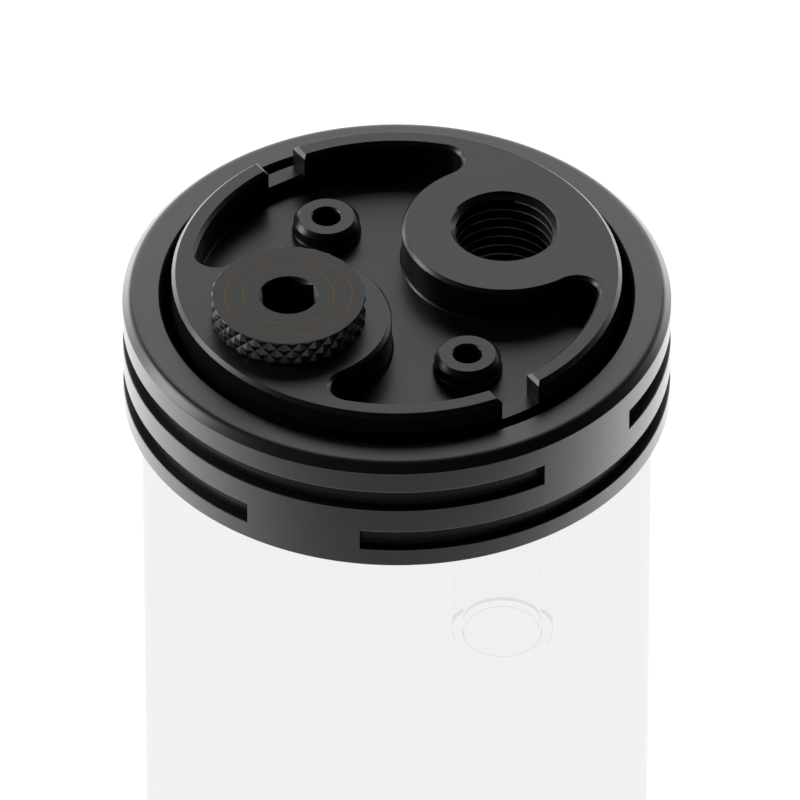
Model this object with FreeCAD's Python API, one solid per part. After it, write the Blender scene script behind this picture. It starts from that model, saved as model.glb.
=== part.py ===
import FreeCAD, Part
import math
import os

from FreeCAD import Vector

# Cylindrical coolant reservoir: a clear tube between two slotted collars. A port plate screws into
# each collar, and carries one open port and one port closed by a screw plug.
# Millimetres. The origin is at the middle of the base, +Z is up, the ports lie on X.
# Each end is drawn the same way: z = 0 on the collar's end face, +z pointing out of the reservoir.

# Clear tube
TUBE_RADIUS = 30.0
TUBE_WALL = 3.0
TUBE_LENGTH = 140.0
TUBE_EDGE = 0.4

# Collar, as a stack of lands and slots below its end face
COLLAR_WALL = 2.0
COLLAR_END_LAND = 3.8
COLLAR_MID_LAND = 3.3
COLLAR_FOOT_LAND = 2.6
COLLAR_EDGE = 1.0
COLLAR_FOOT_EDGE = 0.35
COLLAR_MOUTH_EDGE = 0.3
TUBE_FIT = 0.05
SLOT_HEIGHT = 2.65
SLOT_BACK_WALL = 0.9
SLOT_EDGE = 0.16
SLOT_BRIDGE = 25.0
SLOT_BRIDGES_AT = (-78.4, -143.4)
SLOTS_PER_LEVEL = 2

# Screw thread between port plate and collar
PLATE_THREAD_PITCH = 1.5
PLATE_THREAD_DEPTH = 0.6
PLATE_THREAD_LENGTH = 3.4
PLATE_THREAD_RELIEF = 0.7
MOUTH_CLEARANCE = 0.27
THREAD_GAP = 0.12
THREAD_FLAT = 1.0 / 6.0

# Port plate
RIM_RISE = 3.0
RIM_WALL = 2.5
RIM_EDGE = 0.45
TRENCH_WIDTH = 1.25
TRENCH_DEPTH = 3.4
BARREL_CLEARANCE = 0.4
BARREL_EDGE = 0.5
POCKET_DEPTH = 4.6
POCKET_FILLET = 2.45
POCKET_EDGE = 0.42
POCKET_FLOOR_EDGE = 0.22
LOBE_SPACING = 6.0
PORT_SIDE_WALL = 2.2
BOSS_RADIUS = 4.06
BOSS_TO_RIM = 4.66
BOSS_HEIGHT = 2.6
BOSS_EDGE = 0.6
BOSS_STEP = 0.19
BOSS_FOOT_HEIGHT = 0.87
BRACKET_HOLE_RADIUS = 1.65
BRACKET_HOLE_DEPTH = 8.0
BRACKET_HOLE_EDGE = 0.18
NOTCH_WIDTH = 5.0
NOTCH_DEPTH = 3.0

# Quarter inch parallel pipe thread of the ports
PORT_THREAD_PITCH = 1.337
PORT_MAJOR_RADIUS = 6.5785
PORT_MINOR_RADIUS = 5.7225
PORT_MOUTH_EDGE = 0.63
PORT_THREAD_DEPTH = 11.2
PORT_RELIEF = 1.0
PORT_PILOT = 2.4
PORT_WEB = 1.0

# Rubber rings
SEAL_GAP = 0.1
BORE_SEAL_SECTION = 2.0
BORE_SEAL_LEAD = 2.8
BORE_SEAL_LAND = 1.2
GLAND_SIDE_ROOM = 0.3
PLUG_SEAL_SECTION = 1.4
GRIP_RING_SECTION = 1.1
GASKET_THICKNESS = 0.5
GASKET_SETBACK = 0.2

# Drop tube under the open top port
DROP_TUBE_RADIUS = 6.0
DROP_TUBE_WALL = 1.5
DROP_TUBE_LENGTH = 46.6
DROP_TUBE_EDGE = 0.25
DROP_TUBE_FIT = 0.05
DROP_SEAL_SECTION = 1.5
DROP_SEAL_LAND = 1.8

# Screw plugs
FILL_HEAD_RADIUS = 9.0
FILL_HEAD_HEIGHT = 3.1
FILL_HEAD_EDGE = 0.12
DRAIN_HEAD_RADIUS = 8.4
DRAIN_HEAD_HEIGHT = 2.9
DRAIN_HEAD_EDGE = 0.4
DRAIN_HEAD_ROOM = 0.3
DRAIN_HEAD_SINK = 0.2
PLUG_SHANK_LENGTH = 8.0
PLUG_UNDERCUT = 1.2
PLUG_TIP_EDGE = 0.8
PLUG_SEAL_WALL = 0.5
HEAD_GAP = 0.1
HEX_SIDES = 6
HEX_ACROSS_FLATS = 6.0
HEX_DEPTH = 4.5
HEX_EDGE = 0.45

# Fine metal rings let into the fill plug's top
INLAY_RADII = (5.3, 7.4)
INLAY_WIDTH = 0.18
INLAY_DEPTH = 0.25
INLAY_FIT = 0.02

# A cutter runs past the surface it opens by this much
OVERRUN = 0.5

# Sizes that follow from those above
TUBE_BORE_RADIUS = TUBE_RADIUS - TUBE_WALL
BARREL_RADIUS = TUBE_BORE_RADIUS - BARREL_CLEARANCE
PLATE_MINOR_RADIUS = BARREL_RADIUS + THREAD_GAP
PLATE_MAJOR_RADIUS = PLATE_MINOR_RADIUS + PLATE_THREAD_DEPTH
MOUTH_RADIUS = PLATE_MAJOR_RADIUS - THREAD_GAP + MOUTH_CLEARANCE
RIM_RADIUS = MOUTH_RADIUS - TRENCH_WIDTH
RIM_INNER_RADIUS = RIM_RADIUS - RIM_WALL
COLLAR_BORE_RADIUS = TUBE_RADIUS + TUBE_FIT
COLLAR_RADIUS = TUBE_RADIUS + COLLAR_WALL
SLOT_BACK_RADIUS = COLLAR_BORE_RADIUS + SLOT_BACK_WALL
COLLAR_HEIGHT = COLLAR_END_LAND + COLLAR_MID_LAND + COLLAR_FOOT_LAND + 2 * SLOT_HEIGHT
THREAD_END = TRENCH_DEPTH + PLATE_THREAD_LENGTH
SHOULDER_DEPTH = THREAD_END + PLATE_THREAD_RELIEF
TUBE_INSET = SHOULDER_DEPTH + GASKET_THICKNESS
POCKET_FLOOR = RIM_RISE - POCKET_DEPTH
NOTCH_SILL = RIM_RISE - NOTCH_DEPTH
PORT_RELIEF_TOP = RIM_RISE - PORT_THREAD_DEPTH
PORT_PILOT_TOP = PORT_RELIEF_TOP - PORT_RELIEF
PORT_PILOT_END = PORT_PILOT_TOP - PORT_PILOT
SOCKET_END = PORT_PILOT_END - PORT_WEB
BORE_GLAND_WIDTH = BORE_SEAL_SECTION + 2 * GLAND_SIDE_ROOM
DROP_GLAND_WIDTH = DROP_SEAL_SECTION + 2 * GLAND_SIDE_ROOM
SOCKET_DEPTH = DROP_GLAND_WIDTH + 2 * DROP_SEAL_LAND
OUTER_GLAND_TOP = -(TUBE_INSET + BORE_SEAL_LEAD)
INNER_GLAND_TOP = OUTER_GLAND_TOP - BORE_GLAND_WIDTH - BORE_SEAL_LAND
BARREL_END = min(SOCKET_END - SOCKET_DEPTH, INNER_GLAND_TOP - BORE_GLAND_WIDTH - BORE_SEAL_LAND)
BORE_SEAL_RING = TUBE_BORE_RADIUS - SEAL_GAP - BORE_SEAL_SECTION / 2
BORE_GLAND_RADIUS = BORE_SEAL_RING - BORE_SEAL_SECTION / 2 - SEAL_GAP
DROP_SOCKET_RADIUS = DROP_TUBE_RADIUS + DROP_TUBE_FIT
DROP_GLAND_RADIUS = DROP_SOCKET_RADIUS + DROP_SEAL_SECTION + DROP_TUBE_FIT
PORT_OFFSET = BORE_GLAND_RADIUS - PORT_SIDE_WALL - DROP_GLAND_RADIUS
LOBE_RADIUS = PORT_OFFSET - LOBE_SPACING / 2
BOSS_OFFSET = RIM_INNER_RADIUS - BOSS_TO_RIM - BOSS_RADIUS
BOTTOM_FACE = RIM_RISE
TOP_FACE = BOTTOM_FACE + TUBE_LENGTH + 2 * TUBE_INSET
DRAIN_SEAT = RIM_RISE - DRAIN_HEAD_HEIGHT - HEAD_GAP - DRAIN_HEAD_SINK


def cylinder(radius, low, high, x=0.0, y=0.0):
    """A round bar along z."""
    return Part.makeCylinder(radius, high - low, Vector(x, y, low))


def cone(low_radius, high_radius, low, high, x=0.0, y=0.0):
    """A frustum along z."""
    return Part.makeCone(low_radius, high_radius, high - low, Vector(x, y, low))


def polygon_face(points):
    """A flat face with straight sides."""
    return Part.Face(Part.makePolygon(points + points[:1]))


def revolved(profile, first=0.0, sweep=360.0):
    """Turn a closed (radius, z) outline about z, from one angle over a sweep."""
    face = polygon_face([Vector(radius, 0, z) for radius, z in profile])
    axis = Vector(0, 0, 1)
    face.rotate(Vector(), axis, first)
    return face.revolve(Vector(), axis, sweep)


def round_ring(ring_radius, section, z, x=0.0):
    """A rubber ring of round section lying flat."""
    return Part.makeTorus(ring_radius, section / 2, Vector(x, 0, z))


def thread_turn(inner, outer, inner_width, outer_width, pitch):
    """One turn of a right-hand ridge, from z = 0 at angle 0."""
    corners = [
        (inner, -inner_width / 2),
        (outer, -outer_width / 2),
        (outer, outer_width / 2),
        (inner, inner_width / 2),
    ]
    edges = []
    for radius, z in corners:
        helix = Part.makeHelix(pitch, pitch, radius)
        helix.translate(Vector(0, 0, z))
        edges.append(helix.Edges[0])
    faces = [Part.makeRuledSurface(*pair) for pair in zip(edges, edges[1:] + edges[:1])]
    faces.append(polygon_face([edge.valueAt(edge.FirstParameter) for edge in edges]))
    faces.append(polygon_face([edge.valueAt(edge.LastParameter) for edge in edges]))
    shell = Part.makeShell(faces)
    shell.sewShape()
    turn = Part.makeSolid(shell)
    if turn.Volume < 0:
        turn.reverse()
    return turn


def stacked_turns(turn, pitch, start, end):
    """Whole turns of a ridge that climbs from z = start to z = end or past it, in step at z = 0."""
    turns = []
    for count in range(math.ceil((end - start) / pitch)):
        placed = turn.copy()
        placed.rotate(Vector(), Vector(0, 0, 1), 360.0 * start / pitch)
        placed.translate(Vector(0, 0, start + count * pitch))
        turns.append(placed)
    return turns


def flank_slope(minor, major, pitch):
    """Half the width that a screw groove loses per unit of depth."""
    return pitch * (0.5 - THREAD_FLAT) / (major - minor)


def groove_width(radius, minor, major, pitch):
    """Width of a screw groove at a radius: a flat at its root, and straight flanks."""
    return pitch * THREAD_FLAT + 2 * flank_slope(minor, major, pitch) * (major - radius)


def female_thread(minor, major, pitch, start, end):
    """Cutters for a screw groove in a bore, from z = start to z = end or past it."""
    inner = minor - THREAD_GAP
    widest = pitch * (1 - THREAD_FLAT / 2)
    inner_width = min(groove_width(inner, minor, major, pitch), widest)
    outer_width = groove_width(major, minor, major, pitch)
    turn = thread_turn(inner, major, inner_width, outer_width, pitch)
    return stacked_turns(turn, pitch, start, end)


def male_thread(minor, major, pitch, envelope):
    """Ridge that runs in that groove with the thread gap on every side, trimmed to an envelope."""
    side_room = 2 * THREAD_GAP * math.hypot(1, flank_slope(minor, major, pitch))
    inner = minor - 2 * THREAD_GAP
    outer = major - THREAD_GAP
    inner_width = groove_width(minor - THREAD_GAP, minor, major, pitch) - side_room
    outer_width = groove_width(outer, minor, major, pitch) - side_room
    turn = thread_turn(inner, outer, inner_width, outer_width, pitch)
    span = envelope.BoundBox
    ridge = stacked_turns(turn, pitch, span.ZMin - pitch, span.ZMax + pitch)
    trimmed = [piece.common(envelope) for piece in ridge]
    return [piece for piece in trimmed if piece.Solids]


def slot_cutter(level_top, bridge_at, copy):
    """One long slot in the collar's outside, with broken edges, between two bridges."""
    step = 360.0 / SLOTS_PER_LEVEL
    low = level_top - SLOT_HEIGHT
    flare = OVERRUN + SLOT_EDGE
    profile = [
        (SLOT_BACK_RADIUS, low),
        (COLLAR_RADIUS - SLOT_EDGE, low),
        (COLLAR_RADIUS + OVERRUN, low - flare),
        (COLLAR_RADIUS + OVERRUN, level_top + flare),
        (COLLAR_RADIUS - SLOT_EDGE, level_top),
        (SLOT_BACK_RADIUS, level_top),
    ]
    first = bridge_at + SLOT_BRIDGE / 2 + copy * step
    return revolved(profile, first, step - SLOT_BRIDGE)


def make_collar():
    """Slotted collar: a sleeve round the tube, a shoulder over its end and a threaded mouth."""
    grip_middle = -COLLAR_HEIGHT + COLLAR_FOOT_LAND / 2
    grip_half = GRIP_RING_SECTION / 2 + SEAL_GAP
    grip_root = TUBE_RADIUS + GRIP_RING_SECTION + 2 * TUBE_FIT
    relief_radius = PLATE_MAJOR_RADIUS + THREAD_GAP
    collar = revolved([
        (MOUTH_RADIUS + COLLAR_MOUTH_EDGE, 0),
        (COLLAR_RADIUS - COLLAR_EDGE, 0),
        (COLLAR_RADIUS, -COLLAR_EDGE),
        (COLLAR_RADIUS, -COLLAR_HEIGHT + COLLAR_FOOT_EDGE),
        (COLLAR_RADIUS - COLLAR_FOOT_EDGE, -COLLAR_HEIGHT),
        (COLLAR_BORE_RADIUS, -COLLAR_HEIGHT),
        (COLLAR_BORE_RADIUS, grip_middle - grip_half),
        (grip_root, grip_middle - grip_half),
        (grip_root, grip_middle + grip_half),
        (COLLAR_BORE_RADIUS, grip_middle + grip_half),
        (COLLAR_BORE_RADIUS, -SHOULDER_DEPTH),
        (relief_radius, -SHOULDER_DEPTH),
        (relief_radius, -THREAD_END),
        (PLATE_MINOR_RADIUS, -THREAD_END),
        (PLATE_MINOR_RADIUS, -TRENCH_DEPTH),
        (MOUTH_RADIUS, -TRENCH_DEPTH),
        (MOUTH_RADIUS, -COLLAR_MOUTH_EDGE),
    ])
    cutters = []
    level_top = -COLLAR_END_LAND
    for bridge_at in SLOT_BRIDGES_AT:
        for copy in range(SLOTS_PER_LEVEL):
            cutters.append(slot_cutter(level_top, bridge_at, copy))
        level_top -= SLOT_HEIGHT + COLLAR_MID_LAND
    cutters += female_thread(
        PLATE_MINOR_RADIUS, PLATE_MAJOR_RADIUS, PLATE_THREAD_PITCH,
        -SHOULDER_DEPTH, -TRENCH_DEPTH + PLATE_THREAD_PITCH,
    )
    return collar.cut(cutters)


def make_grip_ring():
    """Rubber ring in the collar's foot that centres the tube."""
    ring_radius = TUBE_RADIUS + TUBE_FIT + GRIP_RING_SECTION / 2
    return round_ring(ring_radius, GRIP_RING_SECTION, -COLLAR_HEIGHT + COLLAR_FOOT_LAND / 2)


def make_end_gasket():
    """Flat ring between the collar's shoulder and the tube's end."""
    outer = TUBE_RADIUS - GASKET_SETBACK
    inner = TUBE_BORE_RADIUS + GASKET_SETBACK
    return cylinder(outer, -TUBE_INSET, -SHOULDER_DEPTH).cut(
        cylinder(inner, -TUBE_INSET - OVERRUN, -SHOULDER_DEPTH + OVERRUN))


def pocket_wire(grow, z):
    """Outline of the sunk floor between rim and lobes, pushed outwards by grow, at height z."""
    rim = RIM_INNER_RADIUS + grow
    lobe = LOBE_RADIUS - grow
    fillet = POCKET_FILLET + grow
    reach = RIM_INNER_RADIUS - POCKET_FILLET
    span = LOBE_RADIUS + POCKET_FILLET
    centre_x = (reach ** 2 - span ** 2 + PORT_OFFSET ** 2) / (2 * PORT_OFFSET)
    centre = Vector(centre_x, math.sqrt(reach ** 2 - centre_x ** 2), 0)
    to_rim = Vector(centre).normalize()
    to_lobe = (Vector(PORT_OFFSET, 0, 0) - centre).normalize()
    to_middle = (to_rim + to_lobe).normalize()

    def corner(side_x, side_y):
        """Rim end, middle and lobe end of one rounded corner."""
        points = [centre + direction * fillet for direction in (to_rim, to_middle, to_lobe)]
        return [Vector(side_x * point.x, side_y * point.y, z) for point in points]

    right_up, left_up = corner(1, 1), corner(-1, 1)
    left_down, right_down = corner(-1, -1), corner(1, -1)
    lobe_side = PORT_OFFSET - lobe
    arcs = [
        (right_up[0], Vector(0, rim, z), left_up[0]),
        tuple(left_up),
        (left_up[2], Vector(-lobe_side, 0, z), left_down[2]),
        tuple(reversed(left_down)),
        (left_down[0], Vector(0, -rim, z), right_down[0]),
        tuple(right_down),
        (right_down[2], Vector(lobe_side, 0, z), right_up[2]),
        tuple(reversed(right_up)),
    ]
    return Part.Wire([Part.Arc(*points).toShape() for points in arcs])


def pocket_cutter():
    """The sunk floor, with a broken top edge and a small bevel round the floor."""
    levels = [
        (POCKET_FLOOR, -POCKET_FLOOR_EDGE),
        (POCKET_FLOOR + POCKET_FLOOR_EDGE, 0.0),
        (RIM_RISE - POCKET_EDGE, 0.0),
        (RIM_RISE + OVERRUN, POCKET_EDGE + OVERRUN),
    ]
    steps = []
    for (low, low_grow), (high, high_grow) in zip(levels, levels[1:]):
        wires = [pocket_wire(low_grow, low), pocket_wire(high_grow, high)]
        steps.append(Part.makeLoft(wires, True, True))
    return steps[0].fuse(steps[1:])


def notch_cutters():
    """Two gaps in the rim, in line with the bosses, with broken edges."""
    half = NOTCH_WIDTH / 2
    flare = RIM_EDGE + OVERRUN
    near = RIM_INNER_RADIUS - OVERRUN
    gap = polygon_face([
        Vector(-half, near, NOTCH_SILL),
        Vector(half, near, NOTCH_SILL),
        Vector(half, near, RIM_RISE - RIM_EDGE),
        Vector(half + flare, near, RIM_RISE + OVERRUN),
        Vector(-half - flare, near, RIM_RISE + OVERRUN),
        Vector(-half, near, RIM_RISE - RIM_EDGE),
    ]).extrude(Vector(0, RIM_WALL + 2 * OVERRUN, 0))
    sill_edge = polygon_face([
        Vector(-half, near, NOTCH_SILL - RIM_EDGE - OVERRUN),
        Vector(-half, RIM_INNER_RADIUS + flare, NOTCH_SILL + OVERRUN),
        Vector(-half, near, NOTCH_SILL + OVERRUN),
    ]).extrude(Vector(NOTCH_WIDTH, 0, 0))
    cutters = []
    for angle in (0, 180):
        for shape in (gap, sill_edge):
            turned = shape.copy()
            turned.rotate(Vector(), Vector(0, 0, 1), angle)
            cutters.append(turned)
    return cutters


def bracket_boss(side):
    """Round boss on the sunk floor: a wider foot, a step, and a broken top edge."""
    foot_top = POCKET_FLOOR + BOSS_FOOT_HEIGHT
    top = POCKET_FLOOR + BOSS_HEIGHT
    upper = BOSS_RADIUS - BOSS_STEP
    boss = revolved([
        (0, POCKET_FLOOR - OVERRUN),
        (BOSS_RADIUS, POCKET_FLOOR - OVERRUN),
        (BOSS_RADIUS, foot_top - BOSS_STEP),
        (upper, foot_top),
        (upper, top - BOSS_EDGE),
        (upper - BOSS_EDGE, top),
        (0, top),
    ])
    boss.translate(Vector(0, side * BOSS_OFFSET, 0))
    return boss


def bracket_hole(side):
    """Blind hole for a bracket screw, with a broken mouth."""
    top = POCKET_FLOOR + BOSS_HEIGHT
    y = side * BOSS_OFFSET
    hole = cylinder(BRACKET_HOLE_RADIUS, top - BRACKET_HOLE_DEPTH, top + OVERRUN, 0, y)
    mouth = cone(
        BRACKET_HOLE_RADIUS, BRACKET_HOLE_RADIUS + BRACKET_HOLE_EDGE + OVERRUN,
        top - BRACKET_HOLE_EDGE, top + OVERRUN, 0, y,
    )
    return [hole, mouth]


def port_void(x, mouth, passage):
    """Plain bore of a port: broken mouth, thread bore, relief, pilot bore and a passage inwards."""
    wide_mouth = PORT_MINOR_RADIUS + PORT_MOUTH_EDGE + OVERRUN
    relief = PORT_MAJOR_RADIUS + THREAD_GAP
    void = revolved([
        (0, mouth + OVERRUN),
        (wide_mouth, mouth + OVERRUN),
        (PORT_MINOR_RADIUS, mouth - PORT_MOUTH_EDGE),
        (PORT_MINOR_RADIUS, PORT_RELIEF_TOP),
        (relief, PORT_RELIEF_TOP),
        (relief, PORT_PILOT_TOP),
        (PORT_MINOR_RADIUS, PORT_PILOT_TOP),
    ] + passage + [
        (0, BARREL_END - OVERRUN),
    ])
    void.translate(Vector(x, 0, 0))
    return void


def port_thread(x, mouth):
    """Screw groove of a port, from its relief out through its mouth."""
    start = PORT_PILOT_TOP + PORT_THREAD_PITCH / 2
    end = mouth + PORT_THREAD_PITCH / 2
    turns = female_thread(PORT_MINOR_RADIUS, PORT_MAJOR_RADIUS, PORT_THREAD_PITCH, start, end)
    for turn in turns:
        turn.translate(Vector(x, 0, 0))
    return turns


def open_passage():
    """Outline of a port that keeps its bore right through the plate."""
    return [(PORT_MINOR_RADIUS, BARREL_END - OVERRUN)]


def narrow_passage(end):
    """Outline of a port with a web under its pilot bore, down to z = end."""
    bore = DROP_TUBE_RADIUS - DROP_TUBE_WALL
    return [(PORT_MINOR_RADIUS, PORT_PILOT_END), (bore, PORT_PILOT_END), (bore, end)]


def drop_tube_passage():
    """Outline of a port with a push-in socket for the drop tube, and a gland for its rubber ring."""
    gland_middle = BARREL_END + SOCKET_DEPTH / 2
    gland_top = gland_middle + DROP_GLAND_WIDTH / 2
    gland_end = gland_middle - DROP_GLAND_WIDTH / 2
    return narrow_passage(SOCKET_END) + [
        (DROP_SOCKET_RADIUS, SOCKET_END),
        (DROP_SOCKET_RADIUS, gland_top),
        (DROP_GLAND_RADIUS, gland_top),
        (DROP_GLAND_RADIUS, gland_end),
        (DROP_SOCKET_RADIUS, gland_end),
        (DROP_SOCKET_RADIUS, BARREL_END - OVERRUN),
    ]


def plate_body():
    """Rim, threaded band and sealed barrel of a port plate, before its pockets and holes."""
    thread_top = -TRENCH_DEPTH
    profile = [
        (0, RIM_RISE),
        (RIM_RADIUS - RIM_EDGE, RIM_RISE),
        (RIM_RADIUS, RIM_RISE - RIM_EDGE),
        (RIM_RADIUS, thread_top),
        (BARREL_RADIUS, thread_top),
    ]
    for gland_top in (OUTER_GLAND_TOP, INNER_GLAND_TOP):
        gland_end = gland_top - BORE_GLAND_WIDTH
        profile += [
            (BARREL_RADIUS, gland_top),
            (BORE_GLAND_RADIUS, gland_top),
            (BORE_GLAND_RADIUS, gland_end),
            (BARREL_RADIUS, gland_end),
        ]
    profile += [
        (BARREL_RADIUS, BARREL_END + BARREL_EDGE),
        (BARREL_RADIUS - BARREL_EDGE, BARREL_END),
        (0, BARREL_END),
    ]
    reach = PLATE_THREAD_DEPTH + OVERRUN
    band = revolved([
        (BARREL_RADIUS - OVERRUN, thread_top + OVERRUN),
        (BARREL_RADIUS + reach, thread_top - reach),
        (BARREL_RADIUS + reach, -THREAD_END + reach),
        (BARREL_RADIUS - OVERRUN, -THREAD_END - OVERRUN),
    ])
    ridge = male_thread(PLATE_MINOR_RADIUS, PLATE_MAJOR_RADIUS, PLATE_THREAD_PITCH, band)
    return revolved(profile).fuse(ridge)


def make_port_plate(has_drop_tube, sunk_plug):
    """Port plate: open port at +X, plugged port at -X, bosses and rim notches on Y."""
    plate = plate_body().cut([pocket_cutter()] + notch_cutters())
    plate = plate.fuse([bracket_boss(side) for side in (-1, 1)])
    plug_mouth = DRAIN_SEAT if sunk_plug else RIM_RISE
    passage = drop_tube_passage() if has_drop_tube else open_passage()
    voids = [
        port_void(PORT_OFFSET, RIM_RISE, passage),
        port_void(-PORT_OFFSET, plug_mouth, narrow_passage(BARREL_END - OVERRUN)),
    ]
    for side in (-1, 1):
        voids += bracket_hole(side)
    if sunk_plug:
        room = DRAIN_HEAD_RADIUS + DRAIN_HEAD_ROOM
        voids.append(cylinder(room, DRAIN_SEAT, RIM_RISE + OVERRUN, -PORT_OFFSET))
    plate = plate.cut(voids)
    return plate.cut(port_thread(PORT_OFFSET, RIM_RISE) + port_thread(-PORT_OFFSET, plug_mouth))


def make_bore_seal(gland_top):
    """Rubber ring between a port plate's barrel and the tube's bore."""
    return round_ring(BORE_SEAL_RING, BORE_SEAL_SECTION, gland_top - BORE_GLAND_WIDTH / 2)


def make_drop_tube():
    """Clear pipe pushed into the socket under the open port."""
    inner = DROP_TUBE_RADIUS - DROP_TUBE_WALL
    top = SOCKET_END
    end = top - DROP_TUBE_LENGTH
    pipe = revolved([
        (inner, top),
        (DROP_TUBE_RADIUS - DROP_TUBE_EDGE, top),
        (DROP_TUBE_RADIUS, top - DROP_TUBE_EDGE),
        (DROP_TUBE_RADIUS, end + DROP_TUBE_EDGE),
        (DROP_TUBE_RADIUS - DROP_TUBE_EDGE, end),
        (inner, end),
    ])
    pipe.translate(Vector(PORT_OFFSET, 0, 0))
    return pipe


def make_drop_tube_seal():
    """Rubber ring that holds the drop tube in its socket."""
    ring_radius = DROP_SOCKET_RADIUS + DROP_SEAL_SECTION / 2
    return round_ring(ring_radius, DROP_SEAL_SECTION, BARREL_END + SOCKET_DEPTH / 2, PORT_OFFSET)


def plug_seal_ring(head_radius):
    """Middle radius of the rubber ring under a plug's head."""
    return head_radius - PLUG_SEAL_WALL - SEAL_GAP - PLUG_SEAL_SECTION / 2


def inlay_ring(radius, top, room=0.0, rise=0.0):
    """One fine ring sunk in a plug's top, or with room and rise the cutter for its groove."""
    half = INLAY_WIDTH / 2 + room
    low, high = top - INLAY_DEPTH, top + rise
    return cylinder(radius + half, low, high).cut(cylinder(radius - half, low, high))


def make_plug_inlay(seat, head_height):
    """Fine metal rings flush with a plug's top."""
    top = seat + HEAD_GAP + head_height
    rings = Part.makeCompound([inlay_ring(radius, top) for radius in INLAY_RADII])
    rings.translate(Vector(-PORT_OFFSET, 0, 0))
    return rings


def make_plug(seat, head_radius, head_height, head_edge, inlay_radii=()):
    """Screw plug: round head with a hex socket, ring gland under it and a threaded shank."""
    under = seat + HEAD_GAP
    top = under + head_height
    tip = under - PLUG_SHANK_LENGTH
    thread_top = under - PLUG_UNDERCUT
    core = PORT_MINOR_RADIUS - THREAD_GAP
    tip_radius = core - PLUG_TIP_EDGE
    body = revolved([
        (0, top),
        (head_radius - head_edge, top),
        (head_radius, top - head_edge),
        (head_radius, under + head_edge),
        (head_radius - head_edge, under),
        (core, under),
        (core, tip + PLUG_TIP_EDGE),
        (tip_radius, tip),
        (0, tip),
    ])
    reach = PORT_MAJOR_RADIUS - tip_radius
    envelope = revolved([
        (tip_radius - OVERRUN, thread_top),
        (PORT_MAJOR_RADIUS, thread_top),
        (PORT_MAJOR_RADIUS, tip + reach),
        (tip_radius, tip),
        (tip_radius - OVERRUN, tip),
    ])
    body = body.fuse(male_thread(PORT_MINOR_RADIUS, PORT_MAJOR_RADIUS, PORT_THREAD_PITCH, envelope))
    flat = HEX_ACROSS_FLATS / 2
    corner = flat / math.cos(math.pi / HEX_SIDES)
    angles = [2 * math.pi * side / HEX_SIDES for side in range(HEX_SIDES)]
    hexagon = polygon_face([
        Vector(corner * math.cos(angle), corner * math.sin(angle), top - HEX_DEPTH)
        for angle in angles
    ]).extrude(Vector(0, 0, HEX_DEPTH + OVERRUN))
    mouth = cone(flat, flat + HEX_EDGE + OVERRUN, top - HEX_EDGE, top + OVERRUN)
    half = PLUG_SEAL_SECTION / 2 + SEAL_GAP
    middle = plug_seal_ring(head_radius)
    gland_roof = seat + 2 * SEAL_GAP + PLUG_SEAL_SECTION
    gland = cylinder(middle + half, under - OVERRUN, gland_roof).cut(
        cylinder(middle - half, under - OVERRUN, gland_roof))
    grooves = [inlay_ring(radius, top, INLAY_FIT, OVERRUN) for radius in inlay_radii]
    plug = body.cut([hexagon, mouth, gland] + grooves)
    plug.translate(Vector(-PORT_OFFSET, 0, 0))
    return plug


def make_plug_seal(seat, head_radius):
    """Rubber ring under a plug's head."""
    z = seat + SEAL_GAP + PLUG_SEAL_SECTION / 2
    return round_ring(plug_seal_ring(head_radius), PLUG_SEAL_SECTION, z, -PORT_OFFSET)


def make_glass_tube():
    """Clear tube with broken ends, standing between the two shoulders."""
    low = BOTTOM_FACE + TUBE_INSET
    high = low + TUBE_LENGTH
    return revolved([
        (TUBE_BORE_RADIUS, low + TUBE_EDGE),
        (TUBE_BORE_RADIUS + TUBE_EDGE, low),
        (TUBE_RADIUS - TUBE_EDGE, low),
        (TUBE_RADIUS, low + TUBE_EDGE),
        (TUBE_RADIUS, high - TUBE_EDGE),
        (TUBE_RADIUS - TUBE_EDGE, high),
        (TUBE_BORE_RADIUS + TUBE_EDGE, high),
        (TUBE_BORE_RADIUS, high - TUBE_EDGE),
    ])


def at_top(shape):
    """Set an end's piece on top of the reservoir."""
    placed = shape.copy()
    placed.translate(Vector(0, 0, TOP_FACE))
    return placed


def at_bottom(shape):
    """Turn an end's piece over and set it under the reservoir."""
    placed = shape.copy()
    placed.rotate(Vector(), Vector(1, 0, 0), 180)
    placed.translate(Vector(0, 0, BOTTOM_FACE))
    return placed


def make_nodes():
    """Every piece in its place, by name."""
    nodes = {"glass_tube": make_glass_tube()}
    ends = {"top": at_top, "bottom": at_bottom}
    shared = {
        "collar": make_collar(),
        "grip_ring": make_grip_ring(),
        "end_gasket": make_end_gasket(),
        "bore_seal_outer": make_bore_seal(OUTER_GLAND_TOP),
        "bore_seal_inner": make_bore_seal(INNER_GLAND_TOP),
    }
    for end, place in ends.items():
        for name, shape in shared.items():
            nodes[f"{end}_{name}"] = place(shape)
    nodes["top_port_plate"] = at_top(make_port_plate(True, False))
    nodes["bottom_port_plate"] = at_bottom(make_port_plate(False, True))
    nodes["drop_tube"] = at_top(make_drop_tube())
    nodes["drop_tube_seal"] = at_top(make_drop_tube_seal())
    nodes["fill_plug"] = at_top(
        make_plug(RIM_RISE, FILL_HEAD_RADIUS, FILL_HEAD_HEIGHT, FILL_HEAD_EDGE, INLAY_RADII))
    nodes["fill_plug_inlay"] = at_top(make_plug_inlay(RIM_RISE, FILL_HEAD_HEIGHT))
    nodes["fill_plug_seal"] = at_top(make_plug_seal(RIM_RISE, FILL_HEAD_RADIUS))
    nodes["drain_plug"] = at_bottom(
        make_plug(DRAIN_SEAT, DRAIN_HEAD_RADIUS, DRAIN_HEAD_HEIGHT, DRAIN_HEAD_EDGE))
    nodes["drain_plug_seal"] = at_bottom(make_plug_seal(DRAIN_SEAT, DRAIN_HEAD_RADIUS))
    return nodes


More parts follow.
